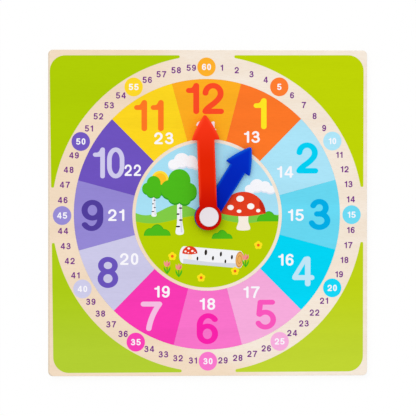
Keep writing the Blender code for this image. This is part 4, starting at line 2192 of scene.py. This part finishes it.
@dataclass
class Studio:
    """Plain soft light, a pale floor and the camera.

    Attributes:
        image_size: The photograph's width and height in pixels.
        middle_pixel: Where the middle of the board's face falls in it.
        seen_width: Width of the view where the face lies.
        distance: From the camera to the face.
        turn: How far the camera stands round to the left, in degrees.
        sensor: Width of the camera's sensor, in millimetres.
        floor_radius: Radius of the floor.
        floor_facets: Count of chords round it.
        floor_drop: How far it lies below the board.
        sun_share: Share of the board's light that comes from the soft lamp.
        sky_tint: Colour of the light from all round, which the lamp makes up to white.
        sun_width: The soft lamp's width, in degrees.
        sun_tilt: The lamp's turns about X and Y, in degrees.
        floor_glow_share: How much of the floor's white doesn't depend on the light.
    """

    image_size: float = 416.0
    middle_pixel: Point = (208.77, 212.93)
    seen_width: float = 383.18 * MM
    distance: float = 12.0
    turn: float = 12.8
    sensor: float = 36.0
    floor_radius: float = 3.0
    floor_facets: int = 64
    floor_drop: float = 0.05 * MM
    sun_share: float = 0.28
    sky_tint: Colour = (0.972, 0.992, 1.036)
    sun_width: float = 50.0
    sun_tilt: Point = (-24.0, -27.0)
    floor_glow_share: float = 0.88

    def build(self, face_height: float) -> None:
        """Sets the camera, lamps, world and floor up.

        Args:
            face_height: Height of the board's face.
        """
        scene = bpy.context.scene
        scene.view_settings.view_transform = "Standard"
        self._camera(face_height)
        self._light()
        self._floor()

    def _camera(self, face_height: float) -> None:
        """Sets up a camera at the photograph's angle, which frames the board as the photograph does.

        Args:
            face_height: Height of the board's face.
        """
        data = bpy.data.cameras.new("camera")
        data.sensor_width = self.sensor
        data.lens = self.sensor * self.distance / self.seen_width
        camera = bpy.data.objects.new("camera", data)
        bpy.context.scene.collection.objects.link(camera)
        turn = math.radians(self.turn)
        pixel = self.seen_width / self.image_size
        x = (self.image_size / 2 - self.middle_pixel[0]) * pixel / math.cos(turn)
        y = (self.middle_pixel[1] - self.image_size / 2) * pixel
        back = Vector((-math.sin(turn), 0.0, math.cos(turn)))
        camera.location = Vector((x, y, face_height)) + back * self.distance
        camera.rotation_euler = (0.0, -turn, 0.0)
        bpy.context.scene.camera = camera

    def _light(self) -> None:
        """A white surround that lights evenly, and one wide soft lamp."""
        sky_share = 1.0 - self.sun_share
        tilt = [math.radians(angle) for angle in self.sun_tilt]
        lamp_data = bpy.data.lights.new("soft_lamp", "SUN")
        lamp_data.energy = math.pi * self.sun_share / (math.cos(tilt[0]) * math.cos(tilt[1]))
        lamp_data.color = [(1.0 - sky_share * tint) / self.sun_share for tint in self.sky_tint]
        lamp_data.angle = math.radians(self.sun_width)
        lamp = bpy.data.objects.new("soft_lamp", lamp_data)
        lamp.rotation_euler = (*tilt, 0.0)
        bpy.context.scene.collection.objects.link(lamp)
        world = bpy.data.worlds.new("surround")
        world.use_nodes = True
        world.node_tree.nodes.clear()
        bpy.context.scene.world = world
        tree = Tree(world.node_tree)
        sky = (*(sky_share * tint for tint in self.sky_tint), 1.0)
        colour = tree.mixed(seen_rays(tree), sky, (1.0, 1.0, 1.0, 1.0))
        light = tree.node("ShaderNodeBackground", None, {"Color": colour, "Strength": 1.0})
        tree.node("ShaderNodeOutputWorld", None, {"Surface": light})

    def _floor(self) -> None:
        """A round pale floor, white to the camera but for the object's soft shadow."""
        rim = [(x, y, -self.floor_drop) for x, y in circle(self.floor_radius, self.floor_facets)]
        mesh = bpy.data.meshes.new("floor")
        mesh.from_pydata(rim, [], [range(len(rim))])
        floor = bpy.data.objects.new("floor", mesh)
        bpy.context.scene.collection.objects.link(floor)
        material = bpy.data.materials.new("floor_paint")
        material.use_nodes = True
        material.node_tree.nodes.clear()
        tree = Tree(material.node_tree)
        speckle = tree.noise((40.0, 40.0, 40.0), 2.0)
        paint = tree.mixed(speckle * 0.02, (1.0, 1.0, 1.0, 1.0), (0.94, 0.94, 0.94, 1.0))
        matte = tree.node("ShaderNodeBsdfDiffuse", None, {"Color": paint})
        glow = tree.node("ShaderNodeEmission", None, {"Color": (1.0, 1.0, 1.0, 1.0), "Strength": 1.0})
        front = tree.node("ShaderNodeMixShader", None, {0: self.floor_glow_share, 1: matte, 2: glow})
        clear = tree.node("ShaderNodeBsdfTransparent")
        behind = tree.node("ShaderNodeNewGeometry", output="Backfacing")
        shown = seen_rays(tree) * (1.0 - behind)
        both = tree.node("ShaderNodeMixShader", None, {0: shown, 1: clear, 2: front})
        tree.node("ShaderNodeOutputMaterial", None, {"Surface": both})
        mesh.materials.append(material)


def seen_rays(tree: Tree) -> Value:
    """Tells rays that show a surface to the camera, by itself or in gloss or glass.

    Args:
        tree: The tree to ask in.

    Returns:
        1 for such a ray, 0 for others.
    """
    outputs = tree.node("ShaderNodeLightPath").socket.node.outputs
    names = ("Is Camera Ray", "Is Glossy Ray", "Is Transmission Ray")
    camera, glossy, glass = (Value(tree, outputs[name]) for name in names)
    return camera.math("MAXIMUM", glossy.math("MAXIMUM", glass))


def main() -> None:
    """Builds the studio and every piece."""
    logging.basicConfig(level=logging.INFO, format="%(name)s: %(message)s")
    figures = figure_tool()
    board = Board(figures)
    Studio().build(board.high)
    pieces = HourPieces(figures)
    board.build(pieces.opening())
    pieces.build()
    PictureDisc(pieces).build(board.veneer)
    # The hands run from painted shade by the pivot to painted sheen at the tip, and their edge colours are a
    # painted highlight
    blue = HandPlastic((0, 20, 156), (0, 36, 182), (0, 46, 197), edge=(12, 92, 216))
    red = HandPlastic((199, 12, 0), (227, 36, 2), (249, 55, 24), edge=(255, 78, 42))
    Hand("hour_hand", "blue_plastic", 76.0 * MM, 32.5, blue).build()
    Hand("minute_hand", "red_plastic", 93.9 * MM, -2.1, red).build()
    Rivet().build()


if __name__ == "__main__":
    main()
